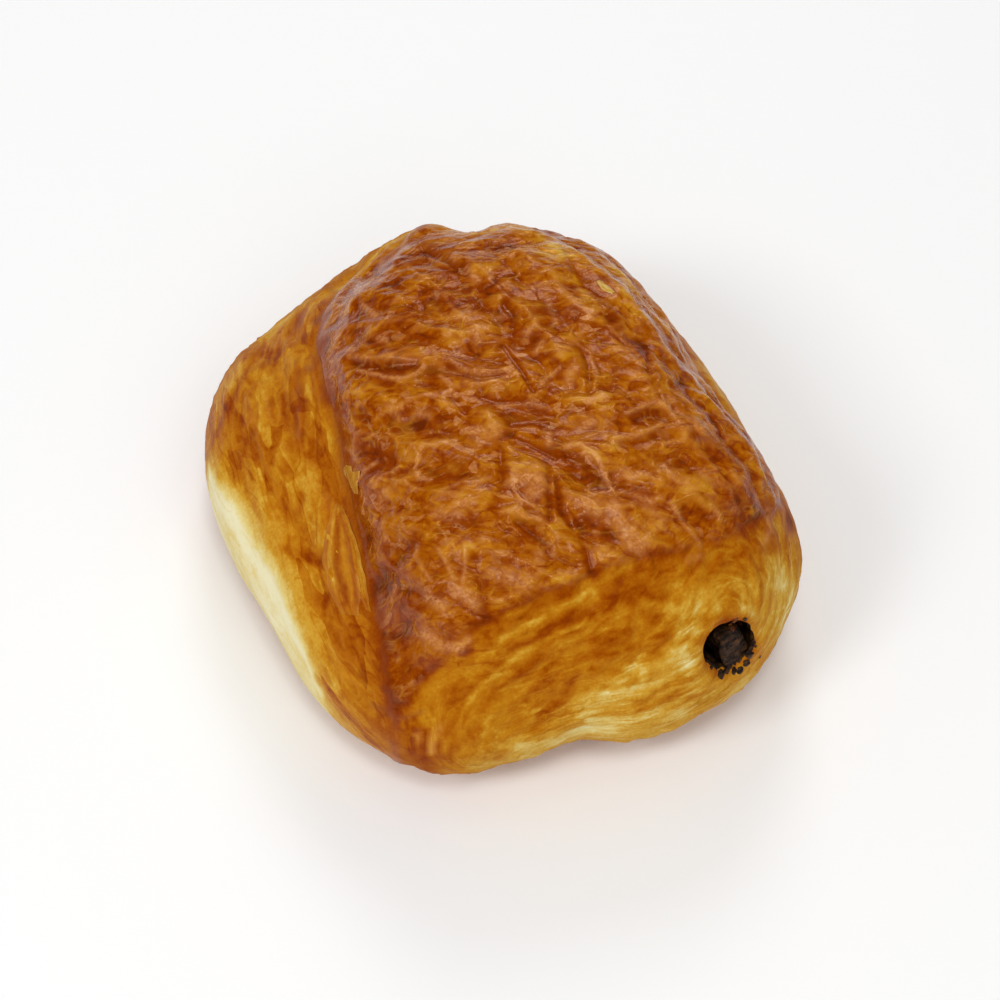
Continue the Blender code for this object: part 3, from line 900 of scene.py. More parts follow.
END_PATCHES = marks({
    PALE: (
        (4.0, 0.6, (712, 612), (735, 604), (754, 612)), (14.0, 0.9, (690, 592), (770, 584)),
        (12.0, 0.55, (484, 722), (494, 716)), (13.0, 1.1, (588, 705), (640, 680), (680, 655)),
        (8.0, 0.7, (520, 752), (560, 742), (610, 732), (680, 712)), (9.0, 0.6, (700, 690), (740, 684)),
        (8.0, 0.9, (778, 560), (790, 595), (778, 632)), (3.0, 0.8, (498, 642), (545, 615), (592, 592)),
        (5.0, 0.6, (600, 616), (650, 606), (690, 612)), (3.0, 0.6, (560, 645), (600, 630), (640, 622)),
        (15.0, 0.5, (684, 618), (694, 650), (690, 676)), (5.0, 0.3, (756, 596), (768, 620), (764, 650)),
        (3.5, 0.7, (736, 612), (748, 609), (758, 620), (761, 634)),
        (2.4, 0.6, (454, 722), (491, 676), (536, 644), (591, 622)), (1.8, 0.9, (419, 734), (422, 758)),
        (1.8, 0.9, (431, 730), (432, 754)), (1.8, 0.9, (442, 728), (443, 752)),
    ),
    BROWN: (
        (3.2, 0.6, (533, 645), (568, 619), (603, 604), (645, 592)),
        (3.2, 0.9, (539, 719), (562, 700), (574, 678)), (3.0, 0.8, (553, 663), (586, 657), (603, 651)),
        (3.0, 0.8, (633, 663), (650, 655), (668, 640)), (3.0, 0.7, (520, 672), (540, 655)),
        (10.0, 0.6, (390, 690), (405, 730), (430, 760)),
        (5.0, 0.55, (462, 656), (500, 631), (560, 599), (640, 574), (720, 559), (780, 547)),
        (4.0, 0.4, (760, 570), (748, 590), (730, 596)),
        (2.2, 0.7, (445, 735), (473, 685), (518, 649), (564, 626), (609, 608)),
        (2.4, 0.6, (461, 745), (495, 690), (545, 658), (609, 631), (654, 608)),
        (9.0, 0.3, (690, 686), (712, 690), (732, 688)), (12.0, 0.25, (476, 712), (488, 722), (500, 732)),
        (1.8, 0.8, (413, 730), (414, 760)), (1.8, 0.8, (425, 731), (426, 758)),
        (1.8, 0.8, (436, 730), (437, 756)), (2.2, 0.7, (449, 734), (452, 760)),
    ),
    FILM: (
        (3.0, 0.35, (750, 612), (758, 626), (757, 642)), (2.0, 0.5, (375, 707), (400, 718), (423, 712)),
    ),
    RIDGE: (
        (2.0, 0.7, (419, 732), (421, 756)), (2.0, 0.8, (430, 728), (431, 752)),
        (2.0, 0.7, (441, 727), (442, 750)),
    ),
})
CRUST_MARKS = (
    PLATEAU_FOLDS + PLATEAU_PAINTED_GLEAMS + DARK_SPOTS + SHOULDER_LINES + CREASE_FILM + RIGHT_EDGE + END_PATCHES
)


@dataclass(frozen=True)
class Crumple:
    """The crumpled film of the glazed crust: folded facets with thin crests between them."""

    seed: int = 11
    folds: int = 9
    reach: float = 32.0
    sheets: int = 3
    facet: float = 3.3
    facet_growth: float = 1.37
    facet_fade: float = 0.6
    stretch: float = 1.3
    drift: float = 1.0
    drift_size: float = 8.0
    small_drift: float = 0.4
    small_drift_size: float = 3.0
    swell_rise: float = 0.5
    swell_size: Triple = (14.0, 10.0, 10.0)
    facet_rise: float = 0.42
    crest_rise: float = 0.22
    crest_size: Triple = (6.4, 4.4, 5.0)
    small_rise: float = 0.12
    small_size: Triple = (3.5, 2.5, 3.0)
    fine_rise: float = 0.03
    fine_size: Triple = (1.9, 1.5, 2.0)
    line_start: float = 0.66
    line_shares: Pair = (0.8, 0.5)
    line_swap: float = 1.3
    crest_share: float = 0.5
    small_share: float = 0.35

    def _folded(self, draw: np.random.Generator, flat: np.ndarray) -> np.ndarray:
        """Fold a sheet along random lines.

        Args:
            draw: Source of the random lines.
            flat: Places on the sheet, in millimetres.

        Returns:
            The places that the sheet's points land on.
        """
        flat = flat.copy()
        for _ in range(self.folds):
            turn = draw.uniform(0.0, 2.0 * math.pi)
            across = np.array([math.cos(turn), math.sin(turn)])
            behind = np.minimum((flat - draw.uniform(-self.reach, self.reach, 2)) @ across, 0.0)
            flat -= 2.0 * behind[:, None] * across
        return flat

    def _facets(self, flow: np.ndarray) -> list[np.ndarray]:
        """Fold several sheets into flat facets.

        Args:
            flow: Place along the wrinkles, across them and zero, in millimetres.

        Returns:
            Heights from -1 to 1 of each sheet, the one with the smallest facets first.
        """
        draw = np.random.default_rng(self.seed)
        flat = flow[:, :2] / (self.stretch, 1.0)
        size = self.facet
        sheets = []
        for _ in range(self.sheets):
            run = self._folded(draw, flat)[:, 1] / size * 2.0 + draw.uniform(0.0, 4.0)
            sheets.append(np.abs(run % 4.0 - 2.0) - 1.0)
            size *= self.facet_growth
        return sheets

    def heights(self, flow: np.ndarray) -> tuple[np.ndarray, np.ndarray]:
        """Height of the crumpled film, and where its folds run.

        Args:
            flow: Place along the wrinkles, across them and zero, in millimetres.

        Returns:
            Heights in millimetres, and values that are near 1 on a crest and near -1 in a fold.
        """
        grain, other = Grain(self.seed + 1), Grain(self.seed + 2)
        moved = flow.copy()
        for axis, first, second in ((0, grain, other), (1, other, grain)):
            small = self.small_drift * second.at(flow, self.small_drift_size)
            moved[:, axis] += self.drift * first.at(flow, self.drift_size) + small
        patch = Noise(self.seed + 1, ((0.8, 9.0),), 0.55, 0.1, 1.2, shift=40.0).at(flow)
        sheets = self._facets(moved)
        crest = grain.ridged(moved, self.crest_size)
        small = other.ridged(moved, self.small_size)
        fine = grain.ridged(moved + 90.0, self.fine_size)
        height = self.swell_rise * other.at(flow + 70.0, self.swell_size)
        height += self.facet_rise * sum(sheet * self.facet_fade**index for index, sheet in enumerate(sheets))
        height += self.crest_rise * crest + self.small_rise * small * patch
        height += self.fine_rise * fine * patch
        start = self.line_start
        lines = [soft_step(sheet, start, 1.0) - soft_step(-sheet, start, 1.0) for sheet in sheets]
        first, second = self.line_shares
        folds = first * lines[0] * patch + second * lines[1] * (self.line_swap - patch)
        folds += self.crest_share * np.clip(crest, 0.0, 1.0)
        folds += self.small_share * np.clip(small, 0.0, 1.0) * patch
        return height, np.clip(folds, -1.0, 1.0)


@dataclass
class PastrySkin:
    """The baked body: its places, zones, relief and colour values, worked out in millimetres."""

    form: DoughForm = DoughForm()
    grid: SkinGrid = SkinGrid()
    camera: PhotoCamera = PhotoCamera()
    crumple: Crumple = Crumple()
    shoulder_film: Crumple = Crumple(
        seed=19, facet=4.0, stretch=2.8, drift=1.2, swell_rise=0.3, facet_rise=0.4, crest_rise=0.16,
        small_rise=0.08, fine_rise=0.02, line_start=0.76,
    )
    marks: tuple[Mark, ...] = CRUST_MARKS
    facing_turn: Pair = (-0.05, 0.1)

    front_edge: tuple[Pair, ...] = (
        (-44.0, 36.0), (-36.0, 37.5), (-31.0, 35.5), (-23.0, 34.9), (-17.0, 35.8), (-2.0, 36.2),
        (6.0, 37.2), (18.0, 38.8), (30.0, 36.5), (38.0, 30.4), (43.0, 24.0),
    )
    edge_wander: Noise = Noise(5, ((0.7, 7.0), (0.4, 2.5)))
    edge_width: float = 0.9
    shoulder_width: float = 2.6
    shoulder_reach: Pair = (-1.0, 3.0)
    rear_turn: Pair = (0.5, 0.7)
    rear_wander: float = 0.06
    roll_reach: Pair = (-0.5, 0.5)
    base_turn: Pair = (0.55, 0.9)
    right_turn: Pair = (0.55, 0.85)
    right_height: Pair = (24.0, 36.0)

    lean: float = math.radians(-26.6)
    unroll_height: float = 42.0
    unroll_share: float = 0.8
    side_rise: float = 0.8
    side_slant: float = 0.14
    side_apart: float = 20.0
    left_roll: Pair = (-20.4, 18.0)
    right_roll: Pair = (17.0, 29.0)

    front_calm: float = 0.45
    front_calm_reach: Pair = (18.0, 34.0)
    front_calm_width: Pair = (8.0, 20.0)
    most_calm: float = 0.9
    broken_film: Noise = Noise(61, ((0.9, 2.6), (0.5, 1.1)), 0.65, 0.1, 1.3)

    crust_step: float = 0.35
    crease_relief: float = 0.35
    crease_reach: Pair = (0.5, 5.0)
    back_calm: float = 0.25
    back_calm_reach: Pair = (8.0, 24.0)
    uneven_crease: Noise = Noise(37, ((0.6, 7.0),), 0.75, 0.25, 1.2, (1.0, 0.5, 1.0))
    base_fade: Pair = (0.3, 4.0)
    flat_height: float = 0.05

    pleats: Noise = Noise(23, ((0.2, 4.6),), stretch=(1.0, 0.32, 1.0))
    side_grain: Noise = Noise(23, ((0.06, 1.7),))
    low_relief: float = 0.2
    low_height: Pair = (17.0, 24.0)
    side_crease_relief: float = 0.4

    layer_wander: Noise = Noise(31, ((1.0, 7.0), (0.35, 2.8)))
    layer_length: float = 0.4
    broad_layers: Noise = Noise(31, ((1.0, (2.4, 7.0, 7.0)),))
    thin_layers: Noise = Noise(31, ((1.0, (1.2, 2.6, 3.0)),), shift=50.0)
    fine_layers: Noise = Noise(31, ((1.0, (0.8, 1.5, 2.4)),), stretch=(1.0, 1.0, 0.6), shift=90.0)
    layer_patches: Noise = Noise(31, ((0.9, 6.0),), 0.5, 0.0, 1.0, shift=60.0)
    layer_drift: Noise = Noise(31, ((0.8, 8.0),), shift=30.0)
    end_grain: Noise = Noise(31, ((0.1, 2.4),))
    layer_spacing: float = 2.3
    layer_edge: float = 0.13
    layer_step: float = 0.5
    layer_fade: float = 0.45
    layer_heights: Pair = (8.0, 17.0)
    layer_rises: Triple = (0.26, 0.2, 0.1)
    layer_tones: Triple = (0.5, 0.4, 0.35)

    mouth_centre: Pair = (16.4, 23.6)
    mouth_half: Pair = (5.7, 4.3)
    mouth_lean: float = math.radians(-54.0)
    mouth_front: float = -38.0
    mouth_dip: float = 0.9

    crust_browning: float = 0.72
    crust_tone: Noise = Noise(41, ((0.05, 14.0), (0.06, (6.0, 4.0, 4.0))))
    # dips, crests and folds of the crust: partly painted shade and painted highlight
    crust_tints: Triple = (0.14, 0.12, 0.1)
    side_tongues: Noise = Noise(43, ((1.3, 7.0),), stretch=(1.0, 0.3, 1.0))
    small_tongues: Noise = Noise(43, ((0.45, 2.8),))
    side_wander: Noise = Noise(43, ((4.0, 8.0), (2.5, 3.0)), shift=20.0)
    front_tongues: float = 9.0
    front_tongue_reach: Pair = (16.0, 32.0)
    back_tongues: float = 4.0
    back_tongue_reach: Pair = (10.0, 26.0)
    side_heights: tuple[float, ...] = (17.4, 18.5, 19.8, 21.8, 24.2, 27.0, 31.0)
    side_browning: tuple[float, ...] = (0.05, 0.02, 0.09, 0.27, 0.45, 0.52, 0.57)
    toasted_least: float = 0.5
    front_toast_reach: Pair = (22.0, 36.0)
    back_toast_reach: Pair = (16.0, 29.0)
    right_toast: float = 0.6
    low_toast: Pair = (0.5, 0.4)
    low_toast_height: Pair = (-7.0, -2.0)
    low_wander: Noise = Noise(43, ((2.0, 6.0),), stretch=(1.0, 0.3, 1.0))
    side_tone: Noise = Noise(43, ((0.06, 5.0),), stretch=(1.0, 0.3, 1.0))
    side_tint: float = 0.04
    # dips, crests and folds of the side pleats: painted shade and painted highlight
    side_tints: Triple = (0.13, 0.14, 0.22)
    side_tint_reach: Pair = (0.3, 0.5)

    end_wander: Noise = Noise(47, ((3.0, 9.0), (1.2, 3.0)))
    end_heights: tuple[float, ...] = (3.0, 9.0, 15.0, 22.0, 30.0, 36.0)
    end_browning: tuple[float, ...] = (0.34, 0.28, 0.38, 0.48, 0.52, 0.62)
    left_end_reach: Pair = (22.0, 32.0)
    left_end_browning: float = 0.56
    end_tints: Triple = (0.18, 0.12, 0.14)
    end_shift: float = -0.02
    # width of the painted shade round the tunnel's mouth
    mouth_shade_width: float = 0.55

    uneven_edge: Noise = Noise(59, ((0.9, 5.0),), 0.7, 0.1, 1.4)
    edge_line: Triple = (0.2, -0.2, 0.55)
    edge_band: Triple = (-0.12, 2.0, 1.3)
    edge_across: Pair = (0.0, 4.0)
    edge_height: Pair = (14.0, 26.0)
    base_tone: Noise = Noise(53, ((0.06, 6.0),), middle=0.47)
    glosses: Triple = (0.35, 0.4, 0.12)
    crest_painted_sheen: Pair = (0.35, 0.4)

    def __post_init__(self) -> None:
        """Work out the smooth body, and the values that relief and colour are made from."""
        self.smooth = self.form.blow_up(self.grid.rays())
        self.normal = self.form.normals(self.smooth)
        self.pixels = self.camera.pixels(self.smooth)
        toward = np.array(self.camera.place()) - self.smooth
        self.facing = soft_step((unit(toward) * self.normal).sum(axis=1), *self.facing_turn)
        self._zones()
        self._unroll()
        self._rings()
        self._read_marks()
        self._relieve()
        self._colour()

    def _zones(self) -> None:
        """Share the skin out between the crust, the shoulder, the right side, the ends and the base."""
        nx, ny, nz = self.normal.T
        x, y, z = self.smooth.T
        wander = self.edge_wander.at(self.smooth)
        self.past_edge = -y + wander - np.interp(x, *np.array(self.front_edge).T)
        self.across = self.form.crease.distance(self.smooth)[0]
        width = self.edge_width + self.shoulder_width * (1.0 - soft_step(self.across, *self.shoulder_reach))
        front = soft_step(self.past_edge / width, -1.0, 1.0)
        rear = soft_step(ny + self.rear_wander * wander, *self.rear_turn)
        self.ends = np.maximum(front, rear)
        roll = soft_step(self.across, *self.roll_reach)
        self.base = soft_step(-nz, *self.base_turn)
        side = (1.0 - self.ends) * (1.0 - self.base)
        right = soft_step(nx, *self.right_turn) * (1.0 - soft_step(z, *self.right_height))
        self.left = side * (1.0 - roll)
        self.right = side * roll * right
        self.crust = side * roll * (1.0 - right)

    def _unroll(self) -> None:
        """Lay the skin out flat, so that wrinkles don't stretch where it turns down."""
        x, y, z = self.smooth.T
        drop = np.maximum(self.unroll_height - z, 0.0) * self.unroll_share
        flat_x, flat_y = x + self.normal[:, 0] * drop, y + self.normal[:, 1] * drop
        cosine, sine = math.cos(self.lean), math.sin(self.lean)
        along = flat_x * cosine + flat_y * sine
        over = flat_y * cosine - flat_x * sine
        self.flow = np.stack([along, over, np.zeros(len(along))], axis=1)
        side_over = self.side_rise * (z - np.abs(x)) - self.side_slant * y
        self.side_flow = np.stack([y, side_over, self.side_apart * (1.0 + np.sign(x))], axis=1)

    def _rings(self) -> None:
        """Distance from the line between the two roll centres, and the run round it, at the ends."""
        left, right = np.array(self.left_roll), np.array(self.right_roll)
        run = right - left
        length = np.linalg.norm(run)
        view = self.smooth[:, [0, 2]]
        share = (view - left) @ run / (run @ run)
        held = np.clip(share, 0.0, 1.0)
        offset = view - left - held[:, None] * run
        distance = np.linalg.norm(offset, axis=1)
        angle = np.arctan2(offset[:, 1], offset[:, 0])
        past_right = np.where(share > 1.0, math.pi / 2.0 - angle, 0.0)
        past_left = np.where(share < 0.0, angle - math.pi / 2.0, 0.0)
        below = (offset[:, 1] < 0.0) & (share >= 0.0) & (share <= 1.0)
        around = held * length + (past_right - past_left) * distance
        around = np.where(below, length * (2.0 - held) + math.pi * distance, around)
        self.lay = np.stack([distance, around, self.smooth[:, 1]], axis=1)

    def _read_marks(self) -> None:
        """Add up what every mark does to the skin, in one pass."""
        kinds = ("rise", "bake", "film", "painted_sheen")
        self.marked = {kind: np.zeros(len(self.smooth)) for kind in kinds}
        self.calm = np.zeros(len(self.smooth))
        for mark in self.marks:
            style = MARK_STYLES[mark.kind]
            distance = mark.distance(self.pixels)
            weight = mark.weight(distance) * self.facing
            for kind in kinds:
                self.marked[kind] += getattr(style, kind) * weight
            if style.calm:
                calm = style.calm * mark.weight(distance, CALM_REACH) * self.facing
                self.calm = np.maximum(self.calm, calm)
        forward = soft_step(-self.smooth[:, 1], *self.front_calm_reach)
        corner = forward * (1.0 - soft_step(self.across, *self.front_calm_width))
        calm = self.calm + self.front_calm * corner * soft_step(self.across, 0.0, 1.0)
        self.calm = np.clip(calm, 0.0, self.most_calm)
        self.marked["film"] *= self.broken_film.at(self.smooth)

    def _side_relief(self) -> np.ndarray:
        """Lengthwise pleats and film of the shoulder and the right side, smoother near the base.

        Returns:
            Heights in millimetres.
        """
        film, crests = self.shoulder_film.heights(self.side_flow)
        low = self.low_relief
        share = (low + (1.0 - low) * soft_step(self.smooth[:, 2], *self.low_height)) * (1.0 - self.calm)
        near = self.side_crease_relief
        share *= near + (1.0 - near) * soft_step(np.abs(self.across), *self.crease_reach)
        self.side_height, self.side_crests = film * share, crests * share
        return self.pleats.at(self.smooth) + self.side_height + self.side_grain.at(self.smooth)

    def _end_relief(self) -> np.ndarray:
        """Layers of the dough that run round the roll centres at both ends.

        Returns:
            Heights in millimetres.
        """
        lay = self.lay.copy()
        lay[:, 0] += self.layer_wander.at(self.smooth)
        lay[:, 2] *= self.layer_length
        broad, thin = self.broad_layers.at(lay), self.thin_layers.at(lay)
        fine = self.fine_layers.at(lay)
        patch = self.layer_patches.at(self.smooth)
        phase = (lay[:, 0] / self.layer_spacing + self.layer_drift.at(self.smooth)) % 1.0
        self.layer_edges = np.exp(-((np.minimum(phase, 1.0 - phase) / self.layer_edge) ** 2)) * patch
        low = self.layer_fade
        self.layering = low + (1.0 - low) * soft_step(self.smooth[:, 2], *self.layer_heights)
        tones = self.layer_tones
        layers = np.clip(tones[0] * broad + tones[1] * thin, -1.0, 1.0)
        self.layers = np.clip(layers + tones[2] * fine, -1.2, 1.2) * self.layering
        rises = self.layer_rises
        height = rises[0] * broad + rises[1] * thin + rises[2] * fine + self.layer_step * phase * patch
        return height + self.end_grain.at(self.smooth)

    def _mouth_relief(self) -> np.ndarray:
        """Dip of the dough round the front mouth of the tunnel, which rounds its rim.

        Returns:
            Heights in millimetres, none above zero.
        """
        major, minor = self.mouth_half
        x, z = self.smooth[:, 0] - self.mouth_centre[0], self.smooth[:, 2] - self.mouth_centre[1]
        cosine, sine = math.cos(self.mouth_lean), math.sin(self.mouth_lean)
        far, wide = x * cosine + z * sine, z * cosine - x * sine
        away = (np.hypot(far / major, wide / minor) - 1.0) * (major + minor) / 2.0
        self.mouth_gap = np.where(self.smooth[:, 1] < self.mouth_front, away, FAR)
        return -self.mouth_dip * np.exp(-np.maximum(self.mouth_gap, -0.5))

    def _relieve(self) -> None:
        """Add every relief to the smooth body along its normals."""
        film, crests = self.crumple.heights(self.flow)
        near = self.crease_relief
        calm = (1.0 - self.calm) * (near + (1.0 - near) * soft_step(self.across, *self.crease_reach))
        calm *= 1.0 - self.back_calm * soft_step(self.smooth[:, 1], *self.back_calm_reach)
        self.film_height, self.crests = film * calm, crests * calm
        height = self.form.crease.height(self.smooth) * self.uneven_crease.at(self.smooth)
        height += self.marked["rise"]
        for mound in self.form.swellings:
            height += mound.height(self.smooth)
        end_film = 1.0 - 0.5 * soft_step(self.lay[:, 0], 0.0, 4.0) * self.ends
        height += self.crust * self.film_height * end_film
        height += (self.left + self.right) * self._side_relief() + self.ends * self._end_relief()
        height += self.crust_step * (soft_step(self.crust, 0.3, 0.7) - 0.5) + self._mouth_relief()
        height *= soft_step(self.smooth[:, 2], *self.base_fade)
        self.places = self.smooth + self.normal * height[:, None]
        flat = (self.smooth[:, 2] < self.flat_height) & (self.normal[:, 2] < -0.9)
        self.places[:, 2] = np.where(flat, 0.0, np.maximum(self.places[:, 2], 0.0))

    def _crust_bake(self) -> np.ndarray:
        """Browning of the glazed crust, paler on thin crests and redder in the dips.

        Darker dips and folds are partly pooled glaze and partly painted shade; paler crests are partly a
        painted highlight.

        Returns:
            One value for each place of the skin.
        """
        dip_shade_tint, crest_highlight_tint, fold_shade_tint = self.crust_tints
        tone = self.crust_browning + self.crust_tone.at(self.flow)
        tone += dip_shade_tint * np.clip(-self.film_height, -1.2, 1.2)
        tone -= crest_highlight_tint * np.clip(self.crests, 0.0, 1.0)
        return tone - fold_shade_tint * np.clip(self.crests, -1.0, 0.0)

    def _side_bake(self) -> np.ndarray:
        """Browning of the shoulder and the right side, which turn to cream near the base.

        Returns:
            One value for each place of the skin.
        """
        x, y, z = self.smooth.T
        along = y + self.side_wander.at(self.smooth)
        tongues = self.side_tongues.at(self.smooth) + self.small_tongues.at(self.smooth)
        tongues += self.front_tongues * soft_step(-along, *self.front_tongue_reach)
        tongues += self.back_tongues * soft_step(along, *self.back_tongue_reach)
        fade = np.interp(z + tongues, self.side_heights, self.side_browning)
        ends = (soft_step(-along, *self.front_toast_reach), soft_step(along, *self.back_toast_reach))
        toasted = np.where(x > 0.0, self.right_toast, np.maximum(*ends))
        fade += toasted * np.maximum(self.toasted_least - fade, 0.0)
        low = soft_step(self.low_wander.at(self.smooth) - z, *self.low_toast_height)
        fade += self.low_toast[0] * low * np.maximum(self.low_toast[1] - fade, 0.0)
        # painted shade in the pleats' dips and folds and a painted highlight on their crests, over an even
        # film tint
        dip_shade_tint, crest_highlight_tint, fold_shade_tint = self.side_tints
        film = dip_shade_tint * np.clip(-self.side_height, -1.0, 1.0)
        film -= crest_highlight_tint * np.clip(self.side_crests, 0.0, 1.0)
        film += self.side_tint + fold_shade_tint * np.clip(-self.side_crests, 0.0, 1.0)
        return fade + self.side_tone.at(self.smooth) + film * soft_step(fade, *self.side_tint_reach)

    def _end_bake(self) -> np.ndarray:
        """Browning of the layered ends, in streaks that follow the layers, with painted shade darkening the
        rim of the tunnel's mouth.

        Returns:
            One value for each place of the skin.
        """
        height = self.smooth[:, 2] + self.end_wander.at(self.smooth)
        rise = np.interp(height, self.end_heights, self.end_browning)
        left = soft_step(-self.smooth[:, 0], *self.left_end_reach)
        rise += left * np.maximum(self.left_end_browning - rise, 0.0)
        layer_tint, edge_tint, mouth_shade_tint = self.end_tints
        # painted shade: darker round the tunnel's mouth
        rim = np.exp(-((self.mouth_gap / self.mouth_shade_width) ** 2))
        rise += layer_tint * self.layers + edge_tint * self.layer_edges
        return rise + self.end_shift + mouth_shade_tint * rim

    def _edge_bake(self) -> np.ndarray:
        """Dark line where the glazed crust ends at the front, with a paler band in front of it.

        Returns:
            A change of browning for each place of the skin.
        """
        total = 0.0
        for tint, middle, width in (self.edge_line, self.edge_band):
            total += tint * np.exp(-(((self.past_edge - middle) / width) ** 2))
        reach = soft_step(self.across, *self.edge_across) * soft_step(self.smooth[:, 2], *self.edge_height)
        return total * self.uneven_edge.at(self.smooth) * reach * (1.0 - self.base)

    def _colour(self) -> None:
        """Work out browning, film, gloss and painted highlight colour for every place of the skin."""
        bake = self.crust * self._crust_bake() + (self.left + self.right) * self._side_bake()
        bake += self.ends * self._end_bake() * (1.0 - self.base) + self.base * self.base_tone.at(self.smooth)
        bake += self._edge_bake() + self.marked["bake"]
        left_gloss, right_gloss, end_gloss = self.glosses
        gloss = self.crust + left_gloss * self.left + right_gloss * self.right + end_gloss * self.ends
        # painted highlight: marks and the crust's thin crests take the pale highlight colour
        share, least = self.crest_painted_sheen
        painted_sheen = self.marked["painted_sheen"] + share * self.crust * np.clip(self.crests - least, 0.0, 1.0)
        values = (bake, self.marked["film"], gloss, painted_sheen)
        self.bake, self.film, self.gloss, self.painted_sheen = (np.clip(value, 0.0, 1.0) for value in values)


class Graph:
    """A node tree that is laid out in code."""

    def __init__(self, tree: bpy.types.NodeTree) -> None:
        """Hold the tree to build in."""
        self.tree = tree

    def feed(self, node: bpy.types.Node, values: dict) -> None:
        """Set or link some sockets of a node.

        Args:
            node: The node to feed.
            values: Sockets by name or number, each with a constant or with the socket it is fed by.
        """
        for key, value in values.items():
            if isinstance(value, Socket):
                self.tree.links.new(value, node.inputs[key])
            else:
                node.inputs[key].default_value = value

    def add(self, kind: str, values: dict | None = None, **settings: object) -> bpy.types.Node:
        """Add one node.

        Args:
            kind: The node's type name.
            values: Its sockets, as feed takes them.
            settings: Other settings of the node.

        Returns:
            The new node.
        """
        node = self.tree.nodes.new(kind)
        for name, value in settings.items():
            setattr(node, name, value)
        self.feed(node, values or {})
        return node

    def math(self, operation: str, *values: object) -> Socket:
        """Add a sum on numbers and return its result."""
        return self.add("ShaderNodeMath", dict(enumerate(values)), operation=operation).outputs[0]

    def noise(self, place: object, scale: float, detail: float, bend: float = 0.0) -> Socket:
        """Add a noise and return its value, from 0 to 1."""
        values = {"Vector": place, "Scale": scale, "Detail": detail, "Distortion": bend}
        return self.add("ShaderNodeTexNoise", values).outputs[0]

    def middled(self, value: object) -> Socket:
        """Move a value that lies round a half so that it lies round zero."""
        return self.math("SUBTRACT", value, 0.5)

    def span(self, value: object, start: float, end: float, low: float = 0.0, high: float = 1.0) -> object:
        """Map a value between two ends to a share between two others."""
        return self.add("ShaderNodeMapRange", {0: value, 1: start, 2: end, 3: low, 4: high}).outputs[0]

    def attribute(self, name: str, output: str = "Fac") -> Socket:
        """Read a value that the mesh carries."""
        return self.add("ShaderNodeAttribute", attribute_name=name).outputs[output]

    def place(self) -> Socket:
        """Read the place on the object, in metres."""
        return self.add("ShaderNodeTexCoord").outputs["Object"]

    def ramp(self, value: object, stops: tuple[tuple[float, Screen], ...]) -> Socket:
        """Turn a value into a colour by stops along a ramp.

        Args:
            value: The value to read.
            stops: Places from 0 to 1, each with its screen colour.

        Returns:
            The colour.
        """
        node = self.add("ShaderNodeValToRGB", {0: value})
        points = node.color_ramp.elements
        while len(points) < len(stops):
            points.new(0.5)
        for point, (place, _) in zip(points, stops):
            point.position = place
        for point, (place, colour) in zip(points, stops):
            point.position = place
            point.color = linear(colour)
        return node.outputs[0]


def linear(colour: Screen) -> tuple[float, float, float, float]:
    """Turn a screen colour from 0 to 255 into the opaque light values that shaders use."""
    parts = [value / 255.0 for value in colour]
    return *(p / 12.92 if p <= 0.04045 else ((p + 0.055) / 1.055) ** 2.4 for p in parts), 1.0


class SharedGroup:
    """An effect that finishes share, as one node group."""

    NAME = ""
    INPUTS: dict[str, str] = {"Vector": "NodeSocketVector"}
    OUTPUTS: tuple[str, ...] = ()

    @classmethod
    def tree(cls) -> bpy.types.NodeTree:
        """Return the group, building it the first time."""
        return bpy.data.node_groups.get(cls.NAME) or cls._build()

    @classmethod
    def _build(cls) -> bpy.types.NodeTree:
        """Build the group's sockets and what lies between them.

        Returns:
            The group's tree.
        """
        tree = bpy.data.node_groups.new(cls.NAME, "ShaderNodeTree")
        for name, kind in cls.INPUTS.items():
            tree.interface.new_socket(name, in_out="INPUT", socket_type=kind)
        for name in cls.OUTPUTS:
            tree.interface.new_socket(name, in_out="OUTPUT", socket_type="NodeSocketFloat")
        graph = Graph(tree)
        results = cls._results(graph, graph.add("NodeGroupInput"))
        graph.feed(graph.add("NodeGroupOutput"), dict(zip(cls.OUTPUTS, results)))
        return tree

    @classmethod
    def _results(cls, graph: Graph, entry: bpy.types.Node) -> tuple[Socket, ...]:
        """Give the value of each output, in turn."""
        raise NotImplementedError


class SpeckleGroup(SharedGroup):
    """The fine grain of baked dough and of chocolate, shared by every finish."""

    NAME = "fine_speckle"
    INPUTS = {"Size": "NodeSocketFloat", "Vector": "NodeSocketVector"}
    OUTPUTS = ("Speckle", "Blotch")
    SCALES = ((1.6, 3.0), (0.45, 4.0))

    @classmethod
    def _results(cls, graph: Graph, entry: bpy.types.Node) -> tuple[Socket, ...]:
        """Add two sizes of lump noise in millimetres.

        Args:
            graph: The group's graph.
            entry: The node that gives the group's inputs.

        Returns:
            The speckle and the blotch.
        """
        scale = graph.math("DIVIDE", 1.0 / MM, entry.outputs["Size"])
        values = {0: entry.outputs["Vector"], "Scale": scale}
        place = graph.add("ShaderNodeVectorMath", values, operation="SCALE").outputs[0]
        return tuple(graph.middled(graph.noise(place, *scales)) for scales in cls.SCALES)


